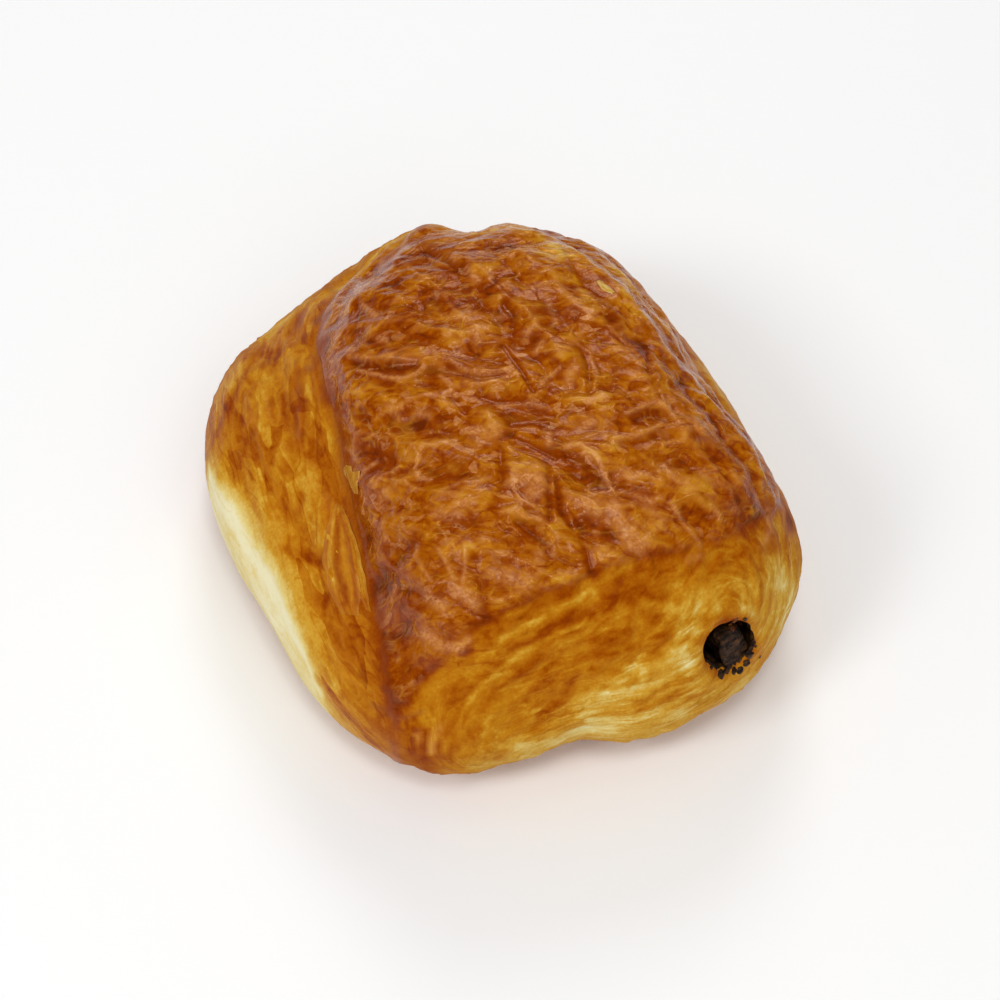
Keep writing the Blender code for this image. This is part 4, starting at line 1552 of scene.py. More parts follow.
class WrinkleGroup(SharedGroup):
    """Lines and tones of crumpled film, with painted light and shade on its cells and painted highlight
    patches, in the millimetres of the laid-out crust.
    """

    NAME = "crumpled_film"
    OUTPUTS = ("Crest", "Crease", "Swirl", "Veil", "PaintedFacetLight", "PaintedGleam")
    CRESTS = ((0.17, 0.8, 12.0), (0.33, 0.7, 10.0))
    CREASES = ((0.21, 1.0, 17.0),)
    PATCH_NOISE = (0.26, 1.0, 0.6)
    PATCH_EDGES = (0.42, 0.6)
    BEND_NOISE = (0.3, 1.0)
    BEND = 2.6
    SWIRL_NOISE = (0.34, 2.0, 1.6)
    VEIL_NOISE = (0.2, 4.0, 0.8)
    VEIL_EDGES = (0.56, 0.7)
    FACET_SCALE = 0.3
    PAINTED_GLEAM_SCALE = 0.8
    PAINTED_GLEAM_EDGES = (0.82, 0.9)

    @classmethod
    def _results(cls, graph: Graph, entry: bpy.types.Node) -> tuple[Socket, ...]:
        """Add noise at several sizes and bent cells.

        Args:
            graph: The group's graph.
            entry: The node that gives the group's inputs.

        Returns:
            The six outputs.
        """
        place = entry.outputs[0]
        patch = graph.span(graph.noise(place, *cls.PATCH_NOISE), *cls.PATCH_EDGES)
        rest = graph.math("SUBTRACT", 1.0, patch)
        scale, detail = cls.BEND_NOISE
        values = {"Vector": place, "Scale": scale, "Detail": detail}
        noise = graph.add("ShaderNodeTexNoise", values).outputs[1]
        shift = graph.add("ShaderNodeVectorMath", {0: noise, "Scale": cls.BEND}, operation="SCALE").outputs[0]
        moved = graph.add("ShaderNodeVectorMath", {0: place, 1: shift}, operation="ADD").outputs[0]
        return (
            graph.math("MULTIPLY", cls._lines(graph, place, cls.CRESTS), patch),
            graph.math("MULTIPLY", cls._lines(graph, place, cls.CREASES), rest),
            graph.middled(graph.noise(place, *cls.SWIRL_NOISE)),
            graph.span(graph.noise(place, *cls.VEIL_NOISE), *cls.VEIL_EDGES),
            # painted light and shade: each cell a tone of its own, as facets lit from different angles
            graph.middled(cls._cells(graph, moved, cls.FACET_SCALE)),
            # painted highlights: a few cells coloured as if they reflected a light
            graph.span(cls._cells(graph, moved, cls.PAINTED_GLEAM_SCALE), *cls.PAINTED_GLEAM_EDGES),
        )

    @staticmethod
    def _lines(graph: Graph, place: object, kinds: tuple[Triple, ...]) -> Socket:
        """Add up smooth lines where each noise crosses its middle.

        Args:
            graph: The group's graph.
            place: Where to read the noises.
            kinds: Scale, share and sharpness of each.

        Returns:
            The sum of the lines.
        """
        total: object = 0.0
        for scale, share, sharpness in kinds:
            away = graph.math("ABSOLUTE", graph.middled(graph.noise(place, scale, 0.0, 1.0)))
            fall = {0: graph.math("MULTIPLY", away, -sharpness), 1: 1.0}
            line = graph.add("ShaderNodeMath", fall, operation="ADD", use_clamp=True).outputs[0]
            total = graph.math("MULTIPLY_ADD", line, share, total)
        return total

    @staticmethod
    def _cells(graph: Graph, place: object, scale: float) -> Socket:
        """Give each bent cell of the film a tone of its own, from 0 to 1."""
        cells = graph.add("ShaderNodeTexVoronoi", {"Vector": place, "Scale": scale})
        return graph.add("ShaderNodeSeparateColor", {0: cells.outputs["Color"]}).outputs[0]


def speckle(graph: Graph, size: float) -> bpy.types.Node:
    """Add the shared speckle group to a material, with its size in millimetres."""
    values = {"Vector": graph.place(), "Size": size}
    return graph.add("ShaderNodeGroup", values, node_tree=SpeckleGroup.tree())


def new_material(name: str) -> tuple[bpy.types.Material, Graph, bpy.types.Node]:
    """Start a material.

    Args:
        name: Name of the material.

    Returns:
        The material, its graph and its shader node.
    """
    material = bpy.data.materials.new(name)
    material.use_nodes = True
    return material, Graph(material.node_tree), material.node_tree.nodes["Principled BSDF"]


@dataclass(frozen=True)
class CrustFinish:
    """Baked dough, from cream through gold to dark red-brown, with a glaze where it is glossy."""

    name: str = "baked_crust"
    stops: tuple[tuple[float, Screen], ...] = (
        (0.0, (238, 229, 188)),
        (0.12, (226, 202, 122)),
        (0.26, (208, 158, 52)),
        (0.40, (190, 124, 20)),
        (0.54, (174, 99, 8)),
        (0.66, (158, 78, 0)),
        (0.78, (140, 57, 0)),
        (0.90, (126, 47, 0)),
        (1.0, (104, 38, 4)),
    )
    crest_colour: Screen = (208, 134, 30)
    film_colour: Screen = (140, 78, 50)
    # colour of the painted highlights
    painted_sheen_colour: Screen = (218, 152, 96)
    speckle_share: float = 0.22
    blotch_share: float = 0.2
    streak_share: float = 0.62
    fibre_share: float = 0.45
    fibre_scale: Triple = (480.0, 110.0, 480.0)
    swirl_share: float = 0.6
    painted_facet_light_share: float = 0.14
    side_painted_facet_light: float = 0.15
    crease_share: float = 0.16
    crest_mix: float = 0.45
    veil_mix: float = 0.06
    painted_gleam_mix: float = 0.45
    matte_roughness: float = 0.62
    glossy_roughness: float = 0.19
    glaze: float = 0.07
    glaze_roughness: float = 0.12
    dry_specular: float = 0.03
    wet_specular: float = 0.18
    specular_colour: Screen = (255, 198, 136)
    speckle_size: float = 0.8
    painted_sheen_mottle: tuple[float, ...] = (-0.2, 0.12, 0.1, 1.2)
    pale_mottle: tuple[float, ...] = (0.05, 0.35, 0.35, 1.0)
    streak_noise: Triple = (0.8, 4.0, 0.9)
    fibre_noise: Pair = (1.0, 4.0)
    bump: float = 0.00006
    crest_bump: float = 0.00018

    def build(self) -> bpy.types.Material:
        """Build the material.

        Returns:
            The material.
        """
        material, graph, shader = new_material(self.name)
        grains = speckle(graph, self.speckle_size)
        values = {"Vector": graph.attribute("flow", "Vector")}
        wrinkles = graph.add("ShaderNodeGroup", values, node_tree=WrinkleGroup.tree()).outputs
        glazed, side = graph.attribute("crust"), graph.attribute("side")
        names = ("Crest", "Swirl", "Veil")
        crest, swirl, veil = (graph.math("MULTIPLY", wrinkles[name], glazed) for name in names)
        # painted highlights: cell patches and marked patches take a pale pinkish colour, broken up by speckle
        mottle = graph.span(grains.outputs["Speckle"], *self.painted_sheen_mottle)
        painted_gleam = graph.math("MULTIPLY", wrinkles["PaintedGleam"], graph.attribute("painted_glint"))
        painted_sheen = graph.math("MULTIPLY_ADD", painted_gleam, self.painted_gleam_mix, graph.attribute("painted_sheen"))
        painted_sheen = graph.math("MULTIPLY", painted_sheen, mottle)
        # painted light and shade: each facet of the film lighter or darker
        facets = graph.math("MULTIPLY", glazed, self.painted_facet_light_share)
        facets = graph.math("MULTIPLY_ADD", side, self.side_painted_facet_light, facets)
        crease = graph.math("MULTIPLY", wrinkles["Crease"], graph.math("MAXIMUM", glazed, side))
        bake = graph.math("MULTIPLY_ADD", swirl, self.swirl_share, self._browning(graph, grains, side))
        bake = graph.math("MULTIPLY_ADD", wrinkles["PaintedFacetLight"], facets, bake)
        bake = graph.math("MULTIPLY_ADD", crease, self.crease_share, bake)
        colour = self._colour(graph, bake, (crest, veil, painted_sheen))
        self._surface(graph, shader, colour, (crest, grains.outputs["Speckle"]))
        return material

    def _browning(self, graph: Graph, grains: bpy.types.Node, side: Socket) -> Socket:
        """Browning with speckles, blotches, fibres and, at the ends, thin streaks along the layers.

        Args:
            graph: The material's graph.
            grains: The speckle group's node.
            side: How far a place is on a side.

        Returns:
            The browning.
        """
        streaks = graph.middled(graph.noise(graph.attribute("lay", "Vector"), *self.streak_noise))
        streaks = graph.math("MULTIPLY", streaks, graph.attribute("ends"))
        values = {0: graph.place(), 1: self.fibre_scale}
        run = graph.add("ShaderNodeVectorMath", values, operation="MULTIPLY").outputs[0]
        fibres = graph.math("MULTIPLY", graph.middled(graph.noise(run, *self.fibre_noise)), side)
        streaks = graph.math("MULTIPLY_ADD", fibres, self.fibre_share, streaks)
        bake = graph.attribute("bake")
        mottle = graph.math("MULTIPLY", grains.outputs["Speckle"], self.speckle_share)
        mottle = graph.math("MULTIPLY_ADD", grains.outputs["Blotch"], self.blotch_share, mottle)
        bake = graph.math("MULTIPLY_ADD", mottle, graph.span(bake, *self.pale_mottle), bake)
        return graph.math("MULTIPLY_ADD", streaks, self.streak_share, bake)

    def _colour(self, graph: Graph, bake: object, masks: tuple[object, object, object]) -> Socket:
        """Colour by browning, with tan crests, dull purple-brown film and painted highlight patches over it.

        Args:
            graph: The material's graph.
            bake: The browning.
            masks: Shares of crest, veil and painted highlight.

        Returns:
            The colour.
        """
        crest, veil, painted_sheen = masks
        colour = graph.ramp(bake, self.stops)
        film = graph.math("MULTIPLY_ADD", veil, self.veil_mix, graph.attribute("film"))
        crests = graph.math("MULTIPLY", crest, self.crest_mix)
        layers = ((film, self.film_colour), (crests, self.crest_colour), (painted_sheen, self.painted_sheen_colour))
        for share, tint in layers:
            values = {0: share, 6: colour, 7: linear(tint)}
            colour = graph.add("ShaderNodeMix", values, data_type="RGBA").outputs[2]
        return colour

    def _surface(
        self, graph: Graph, shader: bpy.types.Node, colour: Socket, heights: tuple[Socket, Socket]
    ) -> None:
        """Feed colour, roughness, glaze and fine bumps to the shader.

        Args:
            graph: The material's graph.
            shader: The shader's node.
            colour: The colour.
            heights: Heights of the folds and of the speckles.
        """
        gloss = graph.attribute("gloss")
        fall = self.glossy_roughness - self.matte_roughness
        folds = graph.add("ShaderNodeBump", {"Height": heights[0], "Distance": self.crest_bump}).outputs[0]
        values = {"Height": heights[1], "Distance": self.bump, "Normal": folds}
        graph.feed(shader, {
            "Base Color": colour,
            "Roughness": graph.math("MULTIPLY_ADD", gloss, fall, self.matte_roughness),
            "Normal": graph.add("ShaderNodeBump", values).outputs[0],
            "Coat Weight": graph.math("MULTIPLY", gloss, self.glaze),
            "Coat Roughness": self.glaze_roughness,
            "Specular IOR Level": graph.math("MULTIPLY_ADD", gloss, self.wet_specular, self.dry_specular),
            "Specular Tint": linear(self.specular_colour),
        })


@dataclass(frozen=True)
class ChocolateFinish:
    """Dull dark chocolate, dusty brown on its high spots."""

    name: str = "dark_chocolate"
    deep: Screen = (20, 10, 4)
    dusty: Screen = (90, 56, 28)
    dust_share: float = 1.4
    dust: float = 0.36
    speckle_size: float = 0.8
    specular: float = 0.25
    roughness: float = 0.62
    bump: float = 0.0008
    scratch_lean: float = math.radians(-50.0)
    scratch_scale: Triple = (350.0, 900.0, 1300.0)
    scratch_noise: Pair = (1.0, 3.0)
    scratch_share: float = 2.6

    def build(self) -> bpy.types.Material:
        """Build the material.

        Returns:
            The material.
        """
        material, graph, shader = new_material(self.name)
        grains = speckle(graph, self.speckle_size)
        turn = (0.0, self.scratch_lean, 0.0)
        values = {"Vector": graph.place(), "Rotation": turn, "Scale": self.scratch_scale}
        lines = graph.add("ShaderNodeMapping", values).outputs[0]
        scratches = graph.middled(graph.noise(lines, *self.scratch_noise))
        share = graph.math("MULTIPLY_ADD", grains.outputs["Speckle"], self.dust_share, self.dust)
        share = graph.math("MULTIPLY_ADD", scratches, self.scratch_share, share)
        bump = graph.add("ShaderNodeBump", {"Height": scratches, "Distance": self.bump})
        graph.feed(shader, {
            "Base Color": graph.ramp(share, ((0.0, self.deep), (1.0, self.dusty))),
            "Normal": bump.outputs[0],
            "Roughness": self.roughness,
            "Specular IOR Level": self.specular,
        })
        return material


@dataclass(frozen=True)
class CrumbFinish:
    """Soft inner dough at the tunnel's rim, darker further in: chocolate stain and painted shade of the
    tunnel.
    """

    name: str = "tunnel_wall"
    stops: tuple[tuple[float, Screen], ...] = (
        (0.0, (14, 8, 5)),
        (0.45, (30, 16, 8)),
        (0.6, (62, 34, 8)),
        (0.8, (112, 72, 14)),
        (1.0, (150, 108, 34)),
    )
    stain_and_shade_depth: float = 1.1
    mouth_share: float = 0.62
    inner_share: float = 0.35
    blotch_share: float = 1.3
    speckle_size: float = 1.1
    roughness: float = 0.7

    def build(self) -> bpy.types.Material:
        """Build the material.

        Returns:
            The material.
        """
        material, graph, shader = new_material(self.name)
        grains = speckle(graph, self.speckle_size)
        # darker with depth: chocolate stain and painted shade inside the tunnel
        near = graph.span(graph.attribute("depth"), 0.0, self.stain_and_shade_depth, self.mouth_share, self.inner_share)
        share = graph.math("MULTIPLY_ADD", grains.outputs["Blotch"], self.blotch_share, near)
        graph.feed(shader, {"Base Color": graph.ramp(share, self.stops), "Roughness": self.roughness})
        return material


def new_object(name: str, places: np.ndarray, faces: list, material: bpy.types.Material) -> bpy.types.Object:
    """Make a smooth-shaded mesh object at the pastry's place.

    Args:
        name: Name of the object.
        places: Vertices in the dough's own frame, in millimetres.
        faces: Faces by vertex numbers.
        material: Its material.

    Returns:
        The new object.
    """
    mesh = bpy.data.meshes.new(name)
    mesh.from_pydata((places * MM).tolist(), [], faces)
    mesh.shade_smooth()
    mesh.materials.append(material)
    made = bpy.data.objects.new(name, mesh)
    made.location = CENTRING
    bpy.context.scene.collection.objects.link(made)
    return made


def carry(mesh: bpy.types.Mesh, values: dict[str, np.ndarray]) -> None:
    """Store values on a mesh's vertices.

    Args:
        mesh: The mesh.
        values: Numbers, or rows of three, by name.
    """
    for name, value in values.items():
        kind, part = ("FLOAT_VECTOR", "vector") if value.ndim > 1 else ("FLOAT", "value")
        made = mesh.attributes.new(name, kind, "POINT")
        made.data.foreach_set(part, value.astype(np.float32).ravel())


@dataclass(frozen=True)
class RingSection:
    """One oval section across the roll: its place, its size and its lean."""

    y: float
    x: float
    z: float
    major: float
    minor: float
    lean: float


@dataclass(frozen=True)
class Tunnel:
    """The ragged tunnel that the chocolate lies in."""

    sections: tuple[RingSection, ...] = (
        RingSection(-60.0, 16.4, 23.6, 5.8, 4.3, -54.0),
        RingSection(-48.6, 16.4, 23.6, 5.8, 4.3, -54.0),
        RingSection(-46.6, 16.8, 22.0, 6.6, 4.5, -60.0),
        RingSection(-43.5, 17.5, 19.7, 6.3, 3.8, -70.0),
        RingSection(-39.0, 17.9, 19.4, 5.8, 3.2, -74.0),
        RingSection(41.0, 17.9, 19.5, 5.7, 3.1, -74.0),
        RingSection(44.0, 17.9, 19.5, 5.8, 3.1, -74.0),
        RingSection(48.0, 17.5, 20.4, 6.6, 3.9, -72.0),
        RingSection(60.0, 17.0, 21.0, 6.8, 4.2, -70.0),
    )
    sides: int = 96
    mouth_step: float = 0.35
    inner_step: float = 4.0
    end: float = 60.0
    runs: tuple[float, ...] = (-53.0, -40.0, 42.0, 53.0)
    ragged: Noise = Noise(61, ((0.5, 3.2), (0.2, 1.4)))
    mouth_reach: Pair = (39.0, 44.0)

    def _stations(self) -> np.ndarray:
        """Places along the roll of every ring, close together near both mouths.

        Returns:
            Places in millimetres, from the front to the back.
        """
        steps = (self.mouth_step, self.inner_step, self.mouth_step)
        runs = [np.arange(*run) for run in zip(self.runs, self.runs[1:], steps)]
        return np.concatenate([[-self.end], *runs, [self.end]])

    def build(self, material: bpy.types.Material) -> bpy.types.Object:
        """Build the solid that the tunnel is cut with.

        Args:
            material: Material of the tunnel's wall.

        Returns:
            The new object.
        """
        keys = np.array([[s.y, s.x, s.z, s.major, s.minor, s.lean] for s in self.sections])
        turn = np.arange(self.sides) / self.sides * 2.0 * math.pi
        rings = []
        for y in self._stations():
            x, z, major, minor, lean = (np.interp(y, keys[:, 0], keys[:, i]) for i in range(1, 6))
            rings.append(ring_places((x, z), (major * np.cos(turn), minor * np.sin(turn)), lean, y))
        places = np.concatenate(rings)
        centres = np.repeat([ring.mean(axis=0) for ring in rings], self.sides, axis=0)
        mouth = soft_step(np.abs(places[:, 1]), *self.mouth_reach)
        places += unit(places - centres) * (self.ragged.at(places) * mouth)[:, None]
        numbers = np.arange(len(places)).reshape(len(rings), -1)
        faces = grid_faces(numbers, (0, 1, 2, 3), closed=True)
        faces += [tuple(numbers[0].tolist()), tuple(numbers[-1][::-1].tolist())]
        cutter = new_object("tunnel_cutter", places, faces, material)
        carry(cutter.data, {"depth": np.maximum(-DoughForm().field(places), 0.0)})
        return cutter


@dataclass
class PastryBody:
    """The baked body as one closed mesh with its tunnel."""

    skin: PastrySkin
    crust: bpy.types.Material
    wall: bpy.types.Material
    left_film: float = 0.75
    left_film_bake: Pair = (0.3, 0.45)
    right_film: float = 0.5
    right_film_height: Pair = (10.0, 20.0)
    film_calm: float = 0.6
    streaks: Noise = Noise(67, ((1.1, 6.0),), 0.75, 0.2, 1.4)
    crease_gap: Pair = (0.4, 1.6)
    # where painted highlights may fall on the crust, fewer toward the front
    painted_glints: Noise = Noise(71, ((1.2, 7.0),), 0.5, 0.0, 1.0)
    front_painted_glint_fade: float = 0.5
    front_painted_glint_reach: Pair = (12.0, 36.0)
    side_least: float = 0.3
    side_bake: Pair = (0.2, 0.5)
    lay_scale: Triple = (1.0, 0.3, 0.4)
    side_flow_scale: Triple = (0.45, 1.2, 1.0)
    flow_scale: Triple = (0.8, 1.15, 1.0)

    def build(self) -> bpy.types.Object:
        """Build the body, cut its tunnel and give it its colour values.

        Returns:
            The new object.
        """
        body = new_object("pastry_body", self.skin.places, self.skin.grid.faces(), self.crust)
        body.data.materials.append(self.wall)
        self._carry(body.data)
        self._cut(body)
        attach(body, BODY)
        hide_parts("pastry")
        return body

    def _carry(self, mesh: bpy.types.Mesh) -> None:
        """Store the skin's values on the mesh.

        Args:
            mesh: The body's mesh before it is cut.
        """
        skin = self.skin
        low = soft_step(skin.smooth[:, 2], *self.right_film_height)
        apart = soft_step(np.abs(skin.across), *self.crease_gap)
        left = self.left_film * skin.left * soft_step(skin.bake, *self.left_film_bake)
        crust = (skin.crust + left + self.right_film * skin.right * low) * (1.0 - self.film_calm * skin.calm)
        dull = 1.0 - self.front_painted_glint_fade * soft_step(-skin.smooth[:, 1], *self.front_painted_glint_reach)
        baked = self.side_least + (1.0 - self.side_least) * soft_step(skin.bake, *self.side_bake)
        side_flow, flow = skin.side_flow * self.side_flow_scale, skin.flow * self.flow_scale
        carry(mesh, {
            "bake": skin.bake,
            "film": skin.film,
            "gloss": skin.gloss,
            "ends": skin.ends * self.streaks.at(skin.smooth) * skin.layering,
            "painted_sheen": skin.painted_sheen,
            "crust": crust * apart,
            "painted_glint": skin.crust * dull * self.painted_glints.at(skin.smooth),
            "side": (skin.left + skin.right * low) * baked * apart,
            "lay": skin.lay * self.lay_scale,
            "flow": np.where((skin.across < 0.0)[:, None], side_flow, flow),
        })

    def _cut(self, body: bpy.types.Object) -> None:
        """Cut the tunnel through the body.

        Args:
            body: The body's object.
        """
        cutter = Tunnel().build(self.wall)
        cut = body.modifiers.new("tunnel", "BOOLEAN")
        cut.operation, cut.solver, cut.object = "DIFFERENCE", "EXACT", cutter
        cut.material_mode = "TRANSFER"
        graph = bpy.context.evaluated_depsgraph_get()
        mesh = bpy.data.meshes.new_from_object(body.evaluated_get(graph))
        body.modifiers.clear()
        body.data = mesh
        bpy.data.objects.remove(cutter)
        self._mend_rim(mesh)

    @staticmethod
    def _mend_rim(mesh: bpy.types.Mesh) -> None:
        """Give the vertices that the cut made round both mouths the values of the skin beside them.

        Args:
            mesh: The cut mesh.
        """
        form = bmesh.new()
        form.from_mesh(mesh)
        rim = set()
        for edge in form.edges:
            edge.smooth = len({face.material_index for face in edge.link_faces}) == 1
            if not edge.smooth:
                rim.update(edge.verts)
        skin = {vertex for face in form.faces if face.material_index == 0 for vertex in face.verts} - rim
        open_rim = set(rim)
        layers = [*form.verts.layers.float.values(), *form.verts.layers.float_vector.values()]
        while open_rim:
            ready = {}
            for vertex in open_rim:
                near = [edge.other_vert(vertex) for edge in vertex.link_edges]
                near = [other for other in near if other in skin]
                if near:
                    ready[vertex] = near[0]
            if not ready:
                break
            for vertex, other in ready.items():
                for layer in layers:
                    vertex[layer] = other[layer]
            skin.update(ready)
            open_rim -= set(ready)
        form.to_mesh(mesh)
        form.free()


@dataclass(frozen=True)
class ChocolateStick:
    """The baton of dark chocolate, rough where it was cut and melted, in millimetres."""

    centre: Pair = (17.9, 19.5)
    half: Pair = (5.2, 2.7)
    lean: float = 106.0
    front: float = -49.4
    back: float = 42.6
    shift: Pair = (0.1, -0.1)
    tilt: float = 0.35
    side_tilt: float = 0.3
    sides: int = 72
    power: float = 3.0
    rough: Noise = Noise(71, ((0.5, 2.4), (0.3, 1.0)), middle=-0.35, high=0.05)
    end_rough: Noise = Noise(71, ((0.55, 1.6), (0.275, 0.8)), middle=0.3)
    end_reach: float = 1.4
    forward_reach: Pair = (38.0, 46.0)
    least_tilt: float = -1.5
    front_steps: tuple[Pair, ...] = (
        (-0.1, 0.12), (0.0, 0.35), (0.05, 0.6), (0.1, 0.78), (0.35, 0.9), (0.8, 0.97),
    )
    even_runs: tuple[Triple, ...] = ((1.2, 7.0, 0.35), (7.5, 90.0, 2.5))
    back_steps: tuple[Pair, ...] = ((-1.2, 1.0), (-0.5, 0.95), (-0.1, 0.75), (0.0, 0.3))

    def _stations(self) -> list[Pair]:
        """Place along the roll and size share of every ring, from the front end to the back.

        Returns:
            One pair for each ring.
        """
        run = [(self.front + step, share) for step, share in self.front_steps]
        for start, end, step in self.even_runs:
            run += [(self.front + place, 1.0) for place in np.arange(start, end, step)]
        return run + [(self.back + step, share) for step, share in self.back_steps]

    def build(self, material: bpy.types.Material) -> bpy.types.Object:
        """Build the baton.

        Args:
            material: The chocolate's material.

        Returns:
            The new object.
        """
        turn = np.arange(self.sides) / self.sides * 2.0 * math.pi
        bend = np.abs(np.cos(turn)) ** self.power + np.abs(np.sin(turn)) ** self.power
        bend = bend ** (-1.0 / self.power)
        rings = []
        for y, share in self._stations():
            half = (self.half[0] * share * bend * np.cos(turn), self.half[1] * share * bend * np.sin(turn))
            rings.append(ring_places(self.centre, half, self.lean, y))
        places = np.concatenate(rings)
        axis = places * (0.0, 1.0, 0.0) + (self.centre[0], 0.0, self.centre[1])
        near_end = soft_step(self.front + self.end_reach - places[:, 1], 0.0, 1.0)
        places += unit(places - axis) * (self.rough.at(places) * (1.0 - near_end))[:, None]
        forward = soft_step(-places[:, 1], *self.forward_reach)[:, None]
        places += forward * (self.shift[0], 0.0, self.shift[1])
        places[:, 1] += forward[:, 0] * self.tilt * np.maximum(places[:, 2] - self.centre[1], self.least_tilt)
        places[:, 1] += forward[:, 0] * self.side_tilt * (places[:, 0] - self.centre[0])
        places[:, 1] += near_end * self.end_rough.at(places)
        numbers = np.arange(len(places)).reshape(len(rings), -1)
        faces = grid_faces(numbers, (0, 3, 2, 1), closed=True)
        faces += [tuple(numbers[0][::-1].tolist()), tuple(numbers[-1].tolist())]
        made = new_object("chocolate_baton", places, faces, material)
        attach(made, BODY)
        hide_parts("chocolate_stick")
        return made


class SightLines:
    """Finds where the photo's pixels fall on the built pastry."""

    def __init__(self, camera: PhotoCamera, meshes: tuple[bpy.types.Mesh, ...]) -> None:
        """Gather the meshes to look at.

        Args:
            camera: The photo's camera.
            meshes: Meshes in the dough's own frame, in metres.
        """
        self.camera = camera
        places: list[Vector] = []
        faces: list[Face] = []
        for mesh in meshes:
            first = len(places)
            places += [vertex.co / MM for vertex in mesh.vertices]
            faces += [tuple(first + index for index in face.vertices) for face in mesh.polygons]
        self.tree = BVHTree.FromPolygons(places, faces)

    def hit(self, pixel: Pair) -> tuple[np.ndarray, np.ndarray]:
        """Place and outward normal, in millimetres, of what the photo shows at a pixel.

        Args:
            pixel: Column and row in the photo.

        Returns:
            The place and the normal, or the middle of the pastry where nothing is hit.
        """
        place, normal, _, _ = self.tree.ray_cast(self.camera.place(), self.camera.ray(pixel))
        if place is None:
            return np.array(self.camera.target), np.array(self.camera.back())
        return np.array(place), np.array(normal)


@dataclass(frozen=True)
class Flake:
    """A thin leaf of crust standing off the dough, outlined by photo pixels along its two edges."""

    name: str
    left: tuple[Pair, ...]
    right: tuple[Pair, ...]
    lift: float = 0.5
    curl: float = 0.5
    bake: float = 0.5
    film: float = 0.0
    gloss: float = 0.4
    thickness: float = 0.25
    ragged: float = 1.0
    ripple: float = 0.18
    edge_tint: float = 0.1
    rib_tint: float = 0.1
    edge_painted_sheen: float = 0.2
    streaks: float = 0.7
    wrinkles: float = 0.35
    marks: tuple[Mark, ...] = ()
    steps: int = 56
    columns: int = 18
    seed: int = 81

    def _pixels(self) -> np.ndarray:
        """Photo pixels of the leaf's grid, with ragged edges.

        Returns:
            Column and row of each vertex, by step and by column of the grid.
        """
        share = np.linspace(0.0, 1.0, self.steps)
        edges = []
        for stops in (self.left, self.right):
            knots = np.linspace(0.0, 1.0, len(stops))
            edges.append(np.stack([np.interp(share, knots, np.array(stops)[:, i]) for i in range(2)], axis=1))
        grain = Grain(self.seed)
        run = np.stack([share * 40.0, np.zeros(self.steps), np.zeros(self.steps)], axis=1)
        for index, edge in enumerate(edges):
            wander = grain.at(run + 50.0 * index, 3.0) + 0.6 * grain.at(run + 50.0 * index, 1.2)
            edge[:, 0] += self.ragged * wander
        across = np.linspace(0.0, 1.0, self.columns)[None, :, None]
        return edges[0][:, None] * (1.0 - across) + edges[1][:, None] * across

    def build(self, sight: SightLines, material: bpy.types.Material) -> bpy.types.Object:
        """Build the leaf over the dough that lies behind it.

        Args:
            sight: Sight lines to the built dough.
            material: The crust's material.

        Returns:
            The new object.
        """
        pixels = self._pixels()
        hits = [sight.hit(tuple(pixel)) for pixel in pixels.reshape(-1, 2)]
        base = np.array([place for place, _ in hits]).reshape(self.steps, self.columns, 3)
        for _ in range(6):
            base[1:-1] = (base[:-2] + base[1:-1] * 2.0 + base[2:]) / 4.0
            base[:, 1:-1] = (base[:, :-2] + base[:, 1:-1] * 2.0 + base[:, 2:]) / 4.0
        outward = unit(np.array([normal for _, normal in hits]).mean(axis=0))
        along = np.linspace(0.0, 1.0, self.steps)[:, None]
        across = np.linspace(0.0, 1.0, self.columns)[None, :]
        arch = np.sin(math.pi * along) ** 0.6
        ripple = Grain(self.seed + 1).at(base.reshape(-1, 3) * (1.0, 0.4, 1.0), 1.7)
        ripple = self.ripple * ripple.reshape(self.steps, self.columns)
        lift = self.lift * (0.4 + 0.6 * np.sin(math.pi * across))
        rise = arch * (lift + self.curl * across**2 + ripple)
        upper = base + outward * (rise + 0.05)[:, :, None]
        lower = upper - outward * self.thickness
        places = np.concatenate([upper.reshape(-1, 3), lower.reshape(-1, 3)])
        made = new_object(self.name, places, self._faces(), material)
        self._carry(made.data, along, across)
        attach(made, BODY)
        return made

    def _faces(self) -> list[Face]:
        """Faces of the closed leaf: its upper side, its under side and its rim.

        Returns:
            The faces by vertex numbers.
        """
        numbers = np.arange(self.steps * self.columns).reshape(self.steps, -1)
        count = numbers.size
        rim = [*numbers[0], *numbers[1:, -1], *numbers[-1, -2::-1], *numbers[-2:0:-1, 0]]
        faces = grid_faces(numbers, (1, 2, 3, 0)) + grid_faces(numbers + count, (0, 3, 2, 1))
        turns = zip(rim, rim[1:] + rim[:1])
        return faces + [(here, after, count + after, count + here) for here, after in turns]

    def _carry(self, mesh: bpy.types.Mesh, along: np.ndarray, across: np.ndarray) -> None:
        """Store the leaf's colour values on its mesh.

        Args:
            mesh: The leaf's mesh.
            along: Share of the way along, for each step.
            across: Share of the way across, for each column.
        """
        shape = (self.steps, self.columns)
        along, across = along * np.ones(shape), across * np.ones(shape)
        edge = np.abs(across * 2.0 - 1.0) ** 3
        run = np.stack([across * 14.0 + 1.6 * along, along * 3.0, np.full(shape, 0.5)], axis=-1)
        ribs = Grain(self.seed + 2).at(run.reshape(-1, 3), 1.0).reshape(shape)
        bake = (self.bake - self.edge_tint * edge + self.rib_tint * ribs).ravel()
        pixels = self._pixels().reshape(-1, 2)
        for mark in self.marks:
            bake += MARK_STYLES[mark.kind].bake * mark.weight(mark.distance(pixels))
        even = {"film": self.film, "gloss": self.gloss, "ends": self.streaks, "crust": self.wrinkles}
        even |= {"side": 0.0, "painted_glint": 0.0}
        fibres = np.stack([across * 6.0, along * 3.0, np.zeros(shape)], axis=-1).reshape(-1, 3) + self.seed
        values = {name: np.full(bake.size, value) for name, value in even.items()}
